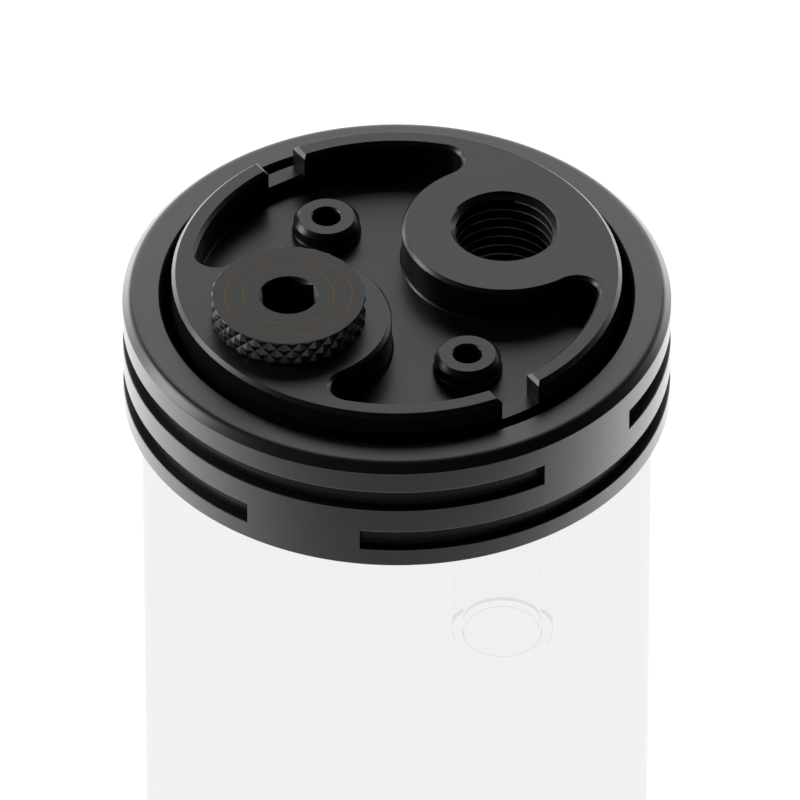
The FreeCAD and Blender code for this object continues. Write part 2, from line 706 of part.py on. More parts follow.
def export_nodes(nodes):
    """Write one file per piece."""
    os.makedirs("parts", exist_ok=True)
    for name, shape in nodes.items():
        shape.exportStep(f"parts/{name}.step")
        print(name, len(shape.Solids), shape.isValid(), round(shape.Volume, 2))


export_nodes(make_nodes())
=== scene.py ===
import logging
import math
from collections.abc import Callable
from dataclasses import dataclass
from enum import Enum
from functools import cache

import bmesh
import bpy
from mathutils import Matrix, Vector


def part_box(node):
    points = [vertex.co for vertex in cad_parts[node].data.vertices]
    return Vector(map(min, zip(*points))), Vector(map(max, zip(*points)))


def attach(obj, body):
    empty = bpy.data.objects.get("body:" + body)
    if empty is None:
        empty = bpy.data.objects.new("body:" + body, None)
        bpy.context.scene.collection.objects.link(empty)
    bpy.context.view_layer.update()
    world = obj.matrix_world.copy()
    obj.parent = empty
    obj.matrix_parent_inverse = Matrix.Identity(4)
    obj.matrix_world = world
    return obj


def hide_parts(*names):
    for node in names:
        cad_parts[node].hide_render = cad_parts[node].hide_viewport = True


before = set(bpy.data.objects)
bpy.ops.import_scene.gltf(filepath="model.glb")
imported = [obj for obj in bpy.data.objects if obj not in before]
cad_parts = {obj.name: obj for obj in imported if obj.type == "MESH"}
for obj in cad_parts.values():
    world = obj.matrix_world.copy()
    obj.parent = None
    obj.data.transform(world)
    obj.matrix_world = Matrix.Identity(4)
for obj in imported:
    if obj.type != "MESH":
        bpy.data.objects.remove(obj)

# An upright tube reservoir: a clear tube between two slotted collars, a port plate in each collar,
# screw plugs, a drop tube and the rubber rings that seal them. Metres, in the frame of the solids.

LOG = logging.getLogger("reservoir")
MM = 0.001
FULL_TURN = 2 * math.pi
WELD = 0.002 * MM
FLAT_ANGLE = 0.3
SHARP_ANGLE = 28.0

# Face marks of painted light that the finishes read, above 0 a painted highlight and below 0 painted shade,
# and the sections of the rubber rings
PAINTED_LIGHT_MARK = "painted_light_mark"
PAINTED_HIGHLIGHT_MARK = 1.0
PAINTED_SHADE_MARK = -1.0
PAINTED_EDGE_SHADE_MARK = 1.0
PLUG_SEAL = 1.4 * MM
DROP_SEAL = 1.5 * MM
GRIP_RING = 1.1 * MM
BORE_SEAL = 2.0 * MM

Outline = list[tuple[float, float]]
Ring = list[bmesh.types.BMVert]
Colour = tuple[float, float, float]


class End(Enum):
    """The end of the reservoir that a piece belongs to."""

    TOP = "top"
    BOTTOM = "bottom"

    def node(self, piece: str) -> str:
        """Name of this end's node of a piece."""
        return f"{self.value}_{piece}"

    def place(self) -> Matrix:
        """Where this end's own frame lies: its origin on the collar's end face, +Z outwards."""
        low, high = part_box(self.node("collar"))
        if self is End.TOP:
            return Matrix.Translation((0, 0, high.z))
        return Matrix.Translation((0, 0, low.z)) @ Matrix.Rotation(math.pi, 4, "X")


class Slot(Enum):
    """Material slots of the record."""

    TUBE = "clear_tube"
    PIPE = "clear_pipe"
    COLLAR = "collar_black"
    PLATE = "plate_black"
    PLUG = "plug_black"
    INLAY = "copper_inlay"
    RUBBER = "seal_rubber"


class Band(Enum):
    """How a satin surface was worked, which sets the run of its fine marks."""

    TURNED = "turned"
    BLASTED = "blasted"


# Shader helpers


class ShaderSheet:
    """A material's node tree while it is being drawn."""

    def __init__(self, name: str) -> None:
        """Start an empty material.

        Args:
            name: the material's name.
        """
        self.material = bpy.data.materials.new(name)
        self.material.use_nodes = True
        self.tree = self.material.node_tree
        self.tree.nodes.clear()
        self.output = self.tree.nodes.new("ShaderNodeOutputMaterial")

    def add(self, kind: str, **values: object) -> bpy.types.Node:
        """Add a node.

        Args:
            kind: the node's type name.
            values: input values by socket name, with underscores for spaces, or node properties.

        Returns:
            The new node.
        """
        node = self.tree.nodes.new(kind)
        for key, value in values.items():
            label = key.replace("_", " ")
            socket = next((s for s in node.inputs if s.name.lower() == label.lower()), None)
            if socket is None:
                setattr(node, key, value)
            else:
                socket.default_value = value
        return node

    def join(self, source: bpy.types.NodeSocket, target: bpy.types.NodeSocket) -> None:
        """Link two sockets."""
        self.tree.links.new(source, target)

    def point(self) -> bpy.types.NodeSocket:
        """The piece's own coordinates."""
        return self.add("ShaderNodeTexCoord").outputs["Object"]

    def noise(self, scale: float, detail: float, stretch: Vector | None = None) -> bpy.types.NodeSocket:
        """A noise over the piece's own coordinates.

        Args:
            scale: noise cells per metre.
            detail: octaves.
            stretch: factor per axis, to draw the cells out.

        Returns:
            The noise factor.
        """
        texture = self.add("ShaderNodeTexNoise", Scale=scale, Detail=detail)
        point = self.point()
        if stretch is not None:
            mapping = self.add("ShaderNodeMapping", Scale=stretch)
            self.join(point, mapping.inputs["Vector"])
            point = mapping.outputs["Vector"]
        self.join(point, texture.inputs["Vector"])
        return texture.outputs["Fac"]

    def spread(self, factor: bpy.types.NodeSocket, low: float, high: float) -> bpy.types.NodeSocket:
        """Spread a factor over a range of values."""
        ramp = self.add("ShaderNodeMapRange", To_Min=low, To_Max=high)
        self.join(factor, ramp.inputs["Value"])
        return ramp.outputs["Result"]

    def sum(self, operation: str, first: bpy.types.NodeSocket,
            second: bpy.types.NodeSocket | float) -> bpy.types.NodeSocket:
        """A sum of a socket and another socket or a number.

        Args:
            operation: the sum's name in the Math node.
            first: a socket.
            second: a socket or a number.

        Returns:
            The result.
        """
        node = self.add("ShaderNodeMath", operation=operation)
        self.join(first, node.inputs[0])
        if isinstance(second, bpy.types.NodeSocket):
            self.join(second, node.inputs[1])
        else:
            node.inputs[1].default_value = second
        return node.outputs[0]

    def blend(self, factor: bpy.types.NodeSocket, below: bpy.types.NodeSocket | Colour,
              above: Colour) -> bpy.types.NodeSocket:
        """Lay a plain colour over another one.

        Args:
            factor: share of the upper colour.
            below: the lower colour, plain or drawn.
            above: the upper colour.

        Returns:
            The mixed colour.
        """
        mix = self.add("ShaderNodeMix", data_type="RGBA")
        lower, upper = (socket for socket in mix.inputs if socket.type == "RGBA")
        if isinstance(below, bpy.types.NodeSocket):
            self.join(below, lower)
        else:
            lower.default_value = (*below, 1.0)
        upper.default_value = (*above, 1.0)
        self.join(factor, mix.inputs["Factor"])
        return next(socket for socket in mix.outputs if socket.type == "RGBA")

    def bump(self, height: bpy.types.NodeSocket, distance: float, strength: float,
             below: bpy.types.NodeSocket | None = None) -> bpy.types.NodeSocket:
        """Raise a surface by a height.

        Args:
            height: factor from 0 to 1.
            distance: depth in metres.
            strength: share of the bump that shows.
            below: a bump that this one lies on.

        Returns:
            The bent normal.
        """
        node = self.add("ShaderNodeBump", Strength=strength, Distance=distance)
        self.join(height, node.inputs["Height"])
        if below is not None:
            self.join(below, node.inputs["Normal"])
        return node.outputs["Normal"]

    def close(self, shader: bpy.types.Node) -> bpy.types.Material:
        """Put a shader on the output and hand the material over."""
        self.join(shader.outputs[0], self.output.inputs["Surface"])
        return self.material


# Finishes


@dataclass(frozen=True)
class SatinBlack:
    """Black satin surface: dyed metal or moulded plastic with fine marks of how it was worked."""

    name: str
    dark: Colour
    light: Colour
    roughness: tuple[float, float]
    ior: float
    band: Band
    bare: Colour = (0.11, 0.11, 0.112)
    specular: float = 0.5
    mottle: float = 45.0
    mottle_detail: float = 4.0
    grain: float = 5200.0
    grain_detail: float = 3.0
    grain_depth: float = 0.006 * MM
    grain_strength: float = 0.5
    mark_scale: float = 900.0
    mark_detail: float = 2.0
    mark_distortion: float = 1.5
    mark_depth: float = 0.004 * MM
    mark_strength: float = 0.15

    def build(self) -> bpy.types.Material:
        """Draw the material: a painted highlight towards a face mark of 1, painted shade without gloss
        towards a mark of -1.

        Returns:
            The material, ready for a piece.
        """
        sheet = ShaderSheet(self.name)
        shader = sheet.add("ShaderNodeBsdfPrincipled", IOR=self.ior)
        mottle = sheet.noise(self.mottle, self.mottle_detail)
        grain = sheet.noise(self.grain, self.grain_detail)
        mark = sheet.add("ShaderNodeAttribute", attribute_name=PAINTED_LIGHT_MARK).outputs["Fac"]
        # Painted highlight: the base colour turns lighter towards a mark of 1.
        colour = sheet.blend(mark, sheet.blend(mottle, self.dark, self.light), self.bare)
        sheet.join(colour, shader.inputs["Base Color"])
        # Painted shade: the gloss fades out towards a mark of -1.
        shine = sheet.add("ShaderNodeMapRange", From_Min=PAINTED_SHADE_MARK, From_Max=0.0,
                          To_Min=0.0, To_Max=self.specular)
        sheet.join(mark, shine.inputs["Value"])
        sheet.join(shine.outputs["Result"], shader.inputs["Specular IOR Level"])
        sheet.join(sheet.spread(mottle, *self.roughness), shader.inputs["Roughness"])
        normal = sheet.bump(grain, self.grain_depth, self.grain_strength)
        if self.band is Band.TURNED:
            marks = sheet.add("ShaderNodeTexWave", wave_type="RINGS", rings_direction="Z",
                              Scale=self.mark_scale, Distortion=self.mark_distortion,
                              Detail=self.mark_detail)
            sheet.join(sheet.point(), marks.inputs["Vector"])
            normal = sheet.bump(marks.outputs["Fac"], self.mark_depth, self.mark_strength, normal)
        sheet.join(normal, shader.inputs["Normal"])
        return sheet.close(shader)


@dataclass(frozen=True)
class ClearWall:
    """Clear polished glass or plastic with the faint lines of a drawn tube."""

    name: str
    colour: Colour
    ior: float
    clear: Colour = (1.0, 1.0, 1.0)
    line_scale: float = 160.0
    line_stretch: float = 0.02
    line_detail: float = 2.0
    line_depth: float = 0.002 * MM
    line_strength: float = 0.2

    def build(self) -> bpy.types.Material:
        """Draw the material: clear, and darkened towards a face mark of 1, a painted shade that stands in
        for the refraction at the edges.

        Returns:
            The material, ready for a piece.
        """
        sheet = ShaderSheet(self.name)
        shader = sheet.add("ShaderNodeBsdfPrincipled", Roughness=0.0, IOR=self.ior, Transmission_Weight=1.0)
        mark = sheet.add("ShaderNodeAttribute", attribute_name=PAINTED_LIGHT_MARK).outputs["Fac"]
        # Painted shade: the marked edge faces let less light through.
        sheet.join(sheet.blend(mark, self.clear, self.colour), shader.inputs["Base Color"])
        lines = sheet.noise(self.line_scale, self.line_detail, Vector((1.0, 1.0, self.line_stretch)))
        normal = sheet.bump(lines, self.line_depth, self.line_strength)
        sheet.join(normal, shader.inputs["Normal"])
        return sheet.close(shader)


@dataclass(frozen=True)
class SealRubber:
    """Matt black rubber with a fine skin."""

    name: str
    dark: Colour = (0.012, 0.012, 0.012)
    light: Colour = (0.024, 0.024, 0.025)
    roughness: tuple[float, float] = (0.5, 0.68)
    ior: float = 1.5
    skin: float = 2600.0
    skin_detail: float = 4.0
    skin_depth: float = 0.01 * MM
    skin_strength: float = 0.4

    def build(self) -> bpy.types.Material:
        """Draw the material.

        Returns:
            The material, ready for a piece.
        """
        sheet = ShaderSheet(self.name)
        shader = sheet.add("ShaderNodeBsdfPrincipled", IOR=self.ior)
        skin = sheet.noise(self.skin, self.skin_detail)
        sheet.join(sheet.blend(skin, self.dark, self.light), shader.inputs["Base Color"])
        sheet.join(sheet.spread(skin, *self.roughness), shader.inputs["Roughness"])
        normal = sheet.bump(skin, self.skin_depth, self.skin_strength)
        sheet.join(normal, shader.inputs["Normal"])
        return sheet.close(shader)


@dataclass(frozen=True)
class CopperInlay:
    """Bare copper, finely brushed and a little dulled."""

    name: str
    dark: Colour = (0.06, 0.035, 0.018)
    light: Colour = (0.115, 0.07, 0.035)
    roughness: tuple[float, float] = (0.3, 0.5)
    patina: float = 700.0
    patina_detail: float = 5.0

    def build(self) -> bpy.types.Material:
        """Draw the material.

        Returns:
            The material, ready for a piece.
        """
        sheet = ShaderSheet(self.name)
        shader = sheet.add("ShaderNodeBsdfPrincipled", Metallic=1.0)
        patina = sheet.noise(self.patina, self.patina_detail)
        sheet.join(sheet.blend(patina, self.dark, self.light), shader.inputs["Base Color"])
        sheet.join(sheet.spread(patina, *self.roughness), shader.inputs["Roughness"])
        return sheet.close(shader)


@dataclass(frozen=True)
class PaleFloor:
    """White studio floor that keeps a soft shadow; to surfaces that mirror it, it shows a painted reflection
    with a painted shadow in front and painted light behind.
    """

    name: str
    albedo: float = 0.62
    seen: float = 0.66
    through: float = 1.0
    mirrored: tuple[float, float] = (0.04, 2.4)
    ramp: tuple[float, float] = (-0.2, 0.025)
    far: float = 1.2
    far_ramp: tuple[float, float] = (-0.3, -0.7)
    away: tuple[float, float, float] = (0.547, 0.837, 0.0)

    def painted_reflection_level(self, sheet: ShaderSheet) -> bpy.types.NodeSocket:
        """Painted reflection that only mirrored rays see: a painted shadow in front of the reservoir,
        painted light behind it and again far in front.

        Args:
            sheet: the material in the making.

        Returns:
            The glow's strength.
        """
        along = sheet.add("ShaderNodeVectorMath", operation="DOT_PRODUCT")
        sheet.join(sheet.point(), along.inputs[0])
        along.inputs[1].default_value = self.away
        near = sheet.add("ShaderNodeMapRange", From_Min=self.ramp[0], From_Max=self.ramp[1],
                         To_Min=self.mirrored[0], To_Max=self.mirrored[1])
        far = sheet.add("ShaderNodeMapRange", From_Min=self.far_ramp[0], From_Max=self.far_ramp[1],
                        To_Min=0.0, To_Max=self.far)
        for ramp in (near, far):
            sheet.join(along.outputs["Value"], ramp.inputs["Value"])
        return sheet.sum("ADD", near.outputs["Result"], far.outputs["Result"])

    def build(self) -> bpy.types.Material:
        """Draw the material.

        Returns:
            The material, ready for the floor.
        """
        sheet = ShaderSheet(self.name)
        path = sheet.add("ShaderNodeLightPath").outputs
        mirror = sheet.sum("SUBTRACT", path["Is Glossy Ray"], path["Is Transmission Ray"])
        mirror = sheet.sum("MAXIMUM", mirror, 0.0)
        seen = sheet.sum("MULTIPLY", path["Is Camera Ray"], self.seen)
        # Painted reflection for glossy rays only.
        mirrored = sheet.sum("MULTIPLY", mirror, self.painted_reflection_level(sheet))
        glow = sheet.add("ShaderNodeEmission")
        sheet.join(sheet.sum("ADD", seen, mirrored), glow.inputs["Strength"])
        matt = sheet.add("ShaderNodeBsdfDiffuse", Color=(self.albedo, self.albedo, self.albedo, 1.0))
        both = sheet.add("ShaderNodeAddShader")
        sheet.join(matt.outputs[0], both.inputs[0])
        sheet.join(glow.outputs[0], both.inputs[1])
        white = sheet.add("ShaderNodeEmission", Strength=self.through)
        either = sheet.add("ShaderNodeMixShader")
        sheet.join(path["Is Transmission Ray"], either.inputs[0])
        sheet.join(both.outputs[0], either.inputs[1])
        sheet.join(white.outputs[0], either.inputs[2])
        return sheet.close(either)


class Finishes:
    """Every finish of the reservoir, drawn once."""

    def __init__(self) -> None:
        """Draw all the materials."""
        self.by_slot: dict[Slot, bpy.types.Material] = {
            # The tube's and the pipe's grey is the painted shade of their marked edges.
            Slot.TUBE: ClearWall("tube_glass", colour=(0.878, 0.878, 0.878), ior=1.004).build(),
            Slot.PIPE: ClearWall("pipe_acrylic", colour=(0.72, 0.72, 0.72), ior=1.02).build(),
            Slot.COLLAR: SatinBlack(
                "collar_satin", dark=(0.006, 0.006, 0.0065), light=(0.010, 0.010, 0.0105),
                roughness=(0.3, 0.38), ior=1.6, band=Band.BLASTED).build(),
            # The plate's light painted highlight is for its thread crests.
            Slot.PLATE: SatinBlack(
                "plate_satin", dark=(0.005, 0.005, 0.0055), light=(0.009, 0.009, 0.0095),
                roughness=(0.3, 0.38), ior=1.45, band=Band.BLASTED, bare=(0.3, 0.3, 0.305)).build(),
            Slot.PLUG: SatinBlack(
                "plug_satin", dark=(0.005, 0.005, 0.0055), light=(0.009, 0.009, 0.0095),
                roughness=(0.32, 0.42), ior=1.38, band=Band.TURNED).build(),
            Slot.INLAY: CopperInlay("inlay_copper").build(),
            Slot.RUBBER: SealRubber("seal_rubber").build(),
        }

    def of(self, slot: Slot) -> bpy.types.Material:
        """The material of a slot."""
        return self.by_slot[slot]


# Geometry Nodes


class GrowthTree:
    """A Geometry Nodes tree with named sizes, which grows a plain mesh."""

    def __init__(self, name: str, sizes: dict[str, float | int]) -> None:
        """Start a tree.

        Args:
            name: the tree's name.
            sizes: named inputs; a whole number makes a whole-number input.
        """
        self.tree = bpy.data.node_groups.new(name, "GeometryNodeTree")
        face = self.tree.interface
        face.new_socket("Geometry", in_out="OUTPUT", socket_type="NodeSocketGeometry")
        face.new_socket("Finish", in_out="INPUT", socket_type="NodeSocketMaterial")
        for label, value in sizes.items():
            kind = "NodeSocketInt" if isinstance(value, int) else "NodeSocketFloat"
            face.new_socket(label, in_out="INPUT", socket_type=kind)
        self.sizes = sizes
        self.given = self.tree.nodes.new("NodeGroupInput")

    def add(self, kind: str, **settings: object) -> bpy.types.Node:
        """Add a node and set its properties."""
        node = self.tree.nodes.new(kind)
        for key, value in settings.items():
            setattr(node, key, value)
        return node

    def feed(self, node: bpy.types.Node, **sources: object) -> bpy.types.Node:
        """Set or link a node's inputs.

        Args:
            node: the node to feed.
            sources: a socket to link or a value to set, by input name, with underscores for spaces.

        Returns:
            The same node.
        """
        for key, source in sources.items():
            self.plug(node.inputs[key.replace("_", " ")], source)
        return node

    def plug(self, target: bpy.types.NodeSocket, source: object) -> None:
        """Link a socket to a source, or set its value."""
        if isinstance(source, bpy.types.NodeSocket):
            self.tree.links.new(source, target)
        else:
            target.default_value = source

    def size(self, label: str) -> bpy.types.NodeSocket:
        """The socket of a named size."""
        return self.given.outputs[label]

    def sum(self, operation: str, first: object, second: object = 0.0) -> bpy.types.NodeSocket:
        """A sum of two sockets or values.

        Args:
            operation: the sum's name in the Math node.
            first: a socket or a number.
            second: a socket or a number.

        Returns:
            The result.
        """
        node = self.add("ShaderNodeMath", operation=operation)
        self.plug(node.inputs[0], first)
        self.plug(node.inputs[1], second)
        return node.outputs[0]

    def close(self, geometry: bpy.types.NodeSocket) -> None:
        """End the tree with realised, finished geometry."""
        real = self.feed(self.add("GeometryNodeRealizeInstances"), Geometry=geometry)
        dressed = self.feed(self.add("GeometryNodeSetMaterial"), Geometry=real.outputs[0],
                            Material=self.size("Finish"))
        self.feed(self.add("NodeGroupOutput"), Geometry=dressed.outputs[0])

    def grow(self, finish: bpy.types.Material, **sizes: float | int) -> bpy.types.Mesh:
        """Grow a plain mesh.

        Args:
            finish: material of the mesh.
            sizes: sizes that differ from the tree's own, by name, with underscores for spaces.

        Returns:
            The mesh, with no modifier behind it.
        """
        seed = bpy.data.objects.new("growth_seed", bpy.data.meshes.new("growth_seed"))
        bpy.context.scene.collection.objects.link(seed)
        modifier = seed.modifiers.new("growth", "NODES")
        modifier.node_group = self.tree
        given = {key.replace("_", " "): value for key, value in sizes.items()}
        values = {**self.sizes, **given, "Finish": finish}
        for item in self.tree.interface.items_tree:
            if item.in_out == "INPUT":
                modifier[item.identifier] = values[item.name]
        mesh = plain_mesh(seed)
        seed.modifiers.remove(modifier)
        bpy.data.objects.remove(seed)
        return mesh


@cache
def knurl_tree() -> GrowthTree:
    """Tree of a diamond knurl: a round band of four-sided points between crossing grooves.

    Returns:
        The tree; the band runs from z = Low up to z = High.
    """
    tree = GrowthTree("diamond_knurl", {
        "Points Round": 30, "Half Rows": 3, "Radius": 9 * MM, "Depth": 0.4 * MM,
        "Low": 0.0, "High": 2.7 * MM,
    })
    columns = tree.sum("MULTIPLY", tree.size("Points Round"), 2.0)
    rows = tree.size("Half Rows")
    grid = tree.add("GeometryNodeMeshGrid")
    tree.feed(grid, Size_X=columns, Size_Y=rows,
              Vertices_X=tree.sum("ADD", columns, 1.0), Vertices_Y=tree.sum("ADD", rows, 1.0))
    place = tree.feed(tree.add("ShaderNodeSeparateXYZ"),
                      Vector=tree.add("GeometryNodeInputPosition").outputs[0])
    column = tree.sum("ROUND", tree.sum("ADD", place.outputs[0], tree.sum("DIVIDE", columns, 2.0)))
    row = tree.sum("ROUND", tree.sum("ADD", place.outputs[1], tree.sum("DIVIDE", rows, 2.0)))
    peak = tree.sum("FLOORED_MODULO", tree.sum("ADD", column, row), 2.0)
    sunk = tree.sum("MULTIPLY", tree.sum("SUBTRACT", 1.0, peak), tree.size("Depth"))
    radius = tree.sum("SUBTRACT", tree.size("Radius"), sunk)
    angle = tree.sum("MULTIPLY", tree.sum("DIVIDE", column, columns), FULL_TURN)
    rise = tree.sum("MULTIPLY", tree.sum("DIVIDE", row, rows),
                    tree.sum("SUBTRACT", tree.size("High"), tree.size("Low")))
    wrapped = tree.feed(tree.add("ShaderNodeCombineXYZ"),
                        X=tree.sum("MULTIPLY", radius, tree.sum("COSINE", angle)),
                        Y=tree.sum("MULTIPLY", radius, tree.sum("SINE", angle)),
                        Z=tree.sum("ADD", rise, tree.size("Low")))
    band = tree.feed(tree.add("GeometryNodeSetPosition"), Geometry=grid.outputs["Mesh"],
                     Position=wrapped.outputs[0])
    closed = tree.feed(tree.add("GeometryNodeMergeByDistance"), Geometry=band.outputs[0], Distance=WELD)
    faces = tree.add("GeometryNodeTriangulate")
    tree.feed(faces, Mesh=closed.outputs[0])
    tree.close(faces.outputs[0])
    return tree


@cache
def thread_tree() -> GrowthTree:
    """Tree of a right-hand screw ridge with straight flanks, climbing from z = Low at angle 0.

    Returns:
        The tree; Inner Width and Outer Width are the ridge's widths at its two radii.
    """
    tree = GrowthTree("screw_ridge", {
        "Inner": 5.5 * MM, "Outer": 6.4 * MM, "Inner Width": 1.0 * MM, "Outer Width": 0.2 * MM,
        "Pitch": 1.337 * MM, "Turns": 4.0, "Low": 0.0, "Steps": 96,
    })
    middle = tree.sum("DIVIDE", tree.sum("ADD", tree.size("Inner"), tree.size("Outer")), 2.0)
    path = tree.add("GeometryNodeCurveSpiral")
    tree.feed(path, Resolution=tree.size("Steps"), Rotations=tree.size("Turns"), Start_Radius=middle,
              End_Radius=middle, Height=tree.sum("MULTIPLY", tree.size("Pitch"), tree.size("Turns")),
              Reverse=True)
    upright = tree.add("GeometryNodeSetCurveNormal", mode="Z_UP")
    tree.feed(upright, Curve=path.outputs[0])
    section = tree.add("GeometryNodeCurvePrimitiveQuadrilateral", mode="TRAPEZOID")
    tree.feed(section, Height=tree.sum("SUBTRACT", tree.size("Outer"), tree.size("Inner")),
              Bottom_Width=tree.size("Inner Width"), Top_Width=tree.size("Outer Width"), Offset=0.0)
    turned = tree.feed(tree.add("GeometryNodeTransform"), Geometry=section.outputs[0],
                       Rotation=(0.0, 0.0, -math.pi / 2))
    ridge = tree.feed(tree.add("GeometryNodeCurveToMesh"), Curve=upright.outputs[0],
                      Profile_Curve=turned.outputs[0], Fill_Caps=True)
    lift = tree.feed(tree.add("ShaderNodeCombineXYZ"), Z=tree.size("Low"))
    placed = tree.feed(tree.add("GeometryNodeTransform"), Geometry=ridge.outputs[0],
                       Translation=lift.outputs[0])
    tree.close(placed.outputs[0])
    return tree


@cache
def ring_tree() -> GrowthTree:
    """Tree of a rubber ring of round section.

    Returns:
        The tree; the ring lies flat at z = Height.
    """
    tree = GrowthTree("rubber_ring", {
        "Radius": 10 * MM, "Section": 2 * MM, "Height": 0.0, "Steps": 192, "Sides": 28,
    })
    path = tree.add("GeometryNodeCurvePrimitiveCircle", mode="RADIUS")
    tree.feed(path, Resolution=tree.size("Steps"), Radius=tree.size("Radius"))
    section = tree.add("GeometryNodeCurvePrimitiveCircle", mode="RADIUS")
    tree.feed(section, Resolution=tree.size("Sides"), Radius=tree.sum("DIVIDE", tree.size("Section"), 2.0))
    ring = tree.feed(tree.add("GeometryNodeCurveToMesh"), Curve=path.outputs[0],
                     Profile_Curve=section.outputs[0])
    lift = tree.feed(tree.add("ShaderNodeCombineXYZ"), Z=tree.size("Height"))
    placed = tree.feed(tree.add("GeometryNodeTransform"), Geometry=ring.outputs[0],
                       Translation=lift.outputs[0])
    tree.close(placed.outputs[0])
    return tree


# Mesh helpers


def plain_mesh(source: bpy.types.Object) -> bpy.types.Mesh:
    """The mesh that an object shows, with its modifiers worked in.

    Args:
        source: an object in the scene.

    Returns:
        A new mesh.
    """
    bpy.context.view_layer.update()
    graph = bpy.context.evaluated_depsgraph_get()
    return bpy.data.meshes.new_from_object(source.evaluated_get(graph), depsgraph=graph)


def round_ring(mesh: bmesh.types.BMesh, radius: float, z: float, steps: int) -> Ring:
    """Add a level ring of points about z; on the axis it is one point, counted once per step.

    Args:
        mesh: the mesh to add to.
        radius: the ring's radius.
        z: its height.
        steps: points round the turn.

    Returns:
        The points in order.
    """
    if radius < WELD:
        return [mesh.verts.new((0, 0, z))] * steps
    angles = (FULL_TURN * step / steps for step in range(steps))
    return [mesh.verts.new((radius * math.cos(a), radius * math.sin(a), z)) for a in angles]


def level_ring(mesh: bmesh.types.BMesh, z: float) -> Ring:
    """The points of a mesh at one height, in order round z."""
    found = [vert for vert in mesh.verts if abs(vert.co.z - z) < WELD and vert.is_boundary]
    return sorted(found, key=lambda vert: math.atan2(vert.co.y, vert.co.x) % FULL_TURN)


def stitch(mesh: bmesh.types.BMesh, first: Ring, second: Ring) -> None:
    """Close the band between two rings; the second has a whole multiple of the first's points.

    Args:
        mesh: the mesh to add to.
        first: one ring.
        second: the other ring.
    """
    share = len(second) // len(first)
    for step in range(len(first)):
        far = [second[(step * share + part) % len(second)] for part in range(share + 1)]
        near = [first[(step + 1) % len(first)], first[step]]
        face = list(dict.fromkeys(far + near))
        if len(face) > 2:
            mesh.faces.new(face)


def skin(mesh: bmesh.types.BMesh, outline: Outline, steps: int) -> list[Ring]:
    """Turn an open (radius, z) outline about z.

    Args:
        mesh: the mesh to add to.
        outline: points in order, in metres.
        steps: faces round the turn.

    Returns:
        The rings of points, in the outline's order.
    """
    rings = [round_ring(mesh, radius, z, steps) for radius, z in outline]
    for first, second in zip(rings, rings[1:]):
        stitch(mesh, first, second)
    return rings


def lathe(mesh: bmesh.types.BMesh, outline: Outline, steps: int) -> None:
    """Turn a closed (radius, z) outline about z.

    Args:
        mesh: the mesh to add to.
        outline: points in order, in metres.
        steps: faces round the turn.
    """
    rings = skin(mesh, outline, steps)
    stitch(mesh, rings[-1], rings[0])


def broken_wall(inner: float, outer: float, low: float, high: float, edge: float) -> Outline:
    """Outline of a turned wall with its four edges broken.

    Args:
        inner: inside radius.
        outer: outside radius.
        low: height of the lower face.
        high: height of the upper face.
        edge: width that each broken edge takes off.

    Returns:
        The points in order, for a lathe.
    """
    return [
        (inner, low + edge), (inner + edge, low), (outer - edge, low), (outer, low + edge),
        (outer, high - edge), (outer - edge, high), (inner + edge, high), (inner, high - edge),
    ]


def soft_outline(outline: Outline, radius: float, steps: int = 3) -> Outline:
    """Round the inner corners of an open outline.

    Args:
        outline: points in order; the first and last stay as they are.
        radius: length that a rounding takes from each side of its corner.
        steps: straight pieces in a rounding.

    Returns:
        The longer outline.
    """
    points = [Vector(point) for point in outline]
    soft = [points[0]]
    for before, corner, after in zip(points, points[1:], points[2:]):
        near = corner + (before - corner).normalized() * min(radius, (before - corner).length / 3)
        far = corner + (after - corner).normalized() * min(radius, (after - corner).length / 3)
        for step in range(steps + 1):
            share = step / steps
            soft.append(near.lerp(corner, share).lerp(corner.lerp(far, share), share))
    return [(point.x, point.y) for point in soft + [points[-1]]]


class PointWeave:
    """Faces over turned points, in which points that fall together are one."""

    def __init__(self, mesh: bmesh.types.BMesh) -> None:
        """Start on a mesh."""
        self.mesh = mesh
        self.points: dict[tuple[int, ...], bmesh.types.BMVert] = {}

    def vert(self, point: tuple[float, float], angle: float) -> bmesh.types.BMVert:
        """The point at (radius, z), turned by an angle in degrees."""
        turn = math.radians(angle)
        place = (point[0] * math.cos(turn), point[0] * math.sin(turn), point[1])
        key = tuple(round(value / WELD) for value in place)
        if key not in self.points:
            self.points[key] = self.mesh.verts.new(place)
        return self.points[key]

    def face(self, corners: list[tuple[tuple[float, float], float]]) -> None:
        """Add a face over ((radius, z), angle) corners, unless fewer than three are left.

        Args:
            corners: the corners in order.
        """
        verts = list(dict.fromkeys(self.vert(point, angle) for point, angle in corners))
        if len(verts) > 2:
            self.mesh.faces.new(verts)


def shift(mesh: bmesh.types.BMesh, place: Matrix) -> None:
    """Move a mesh in the making."""
    bmesh.ops.transform(mesh, matrix=place, verts=mesh.verts)


def merge(mesh: bmesh.types.BMesh, other: bmesh.types.BMesh) -> None:
    """Add a second mesh in the making to a first one, and use it up."""
    spare = bpy.data.meshes.new("spare")
    other.to_mesh(spare)
    other.free()
    absorb(mesh, spare)


def solid_copy(node: str) -> bmesh.types.BMesh:
    """A welded copy of a solid's mesh, with its flat faces whole.

    Args:
        node: the solid's name.

    Returns:
        The copy.
    """
    mesh = bmesh.new()
    mesh.from_mesh(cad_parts[node].data)
    bmesh.ops.remove_doubles(mesh, verts=mesh.verts, dist=WELD)
    bmesh.ops.dissolve_limit(mesh, angle_limit=math.radians(FLAT_ANGLE),
                            verts=mesh.verts, edges=mesh.edges)
    return mesh


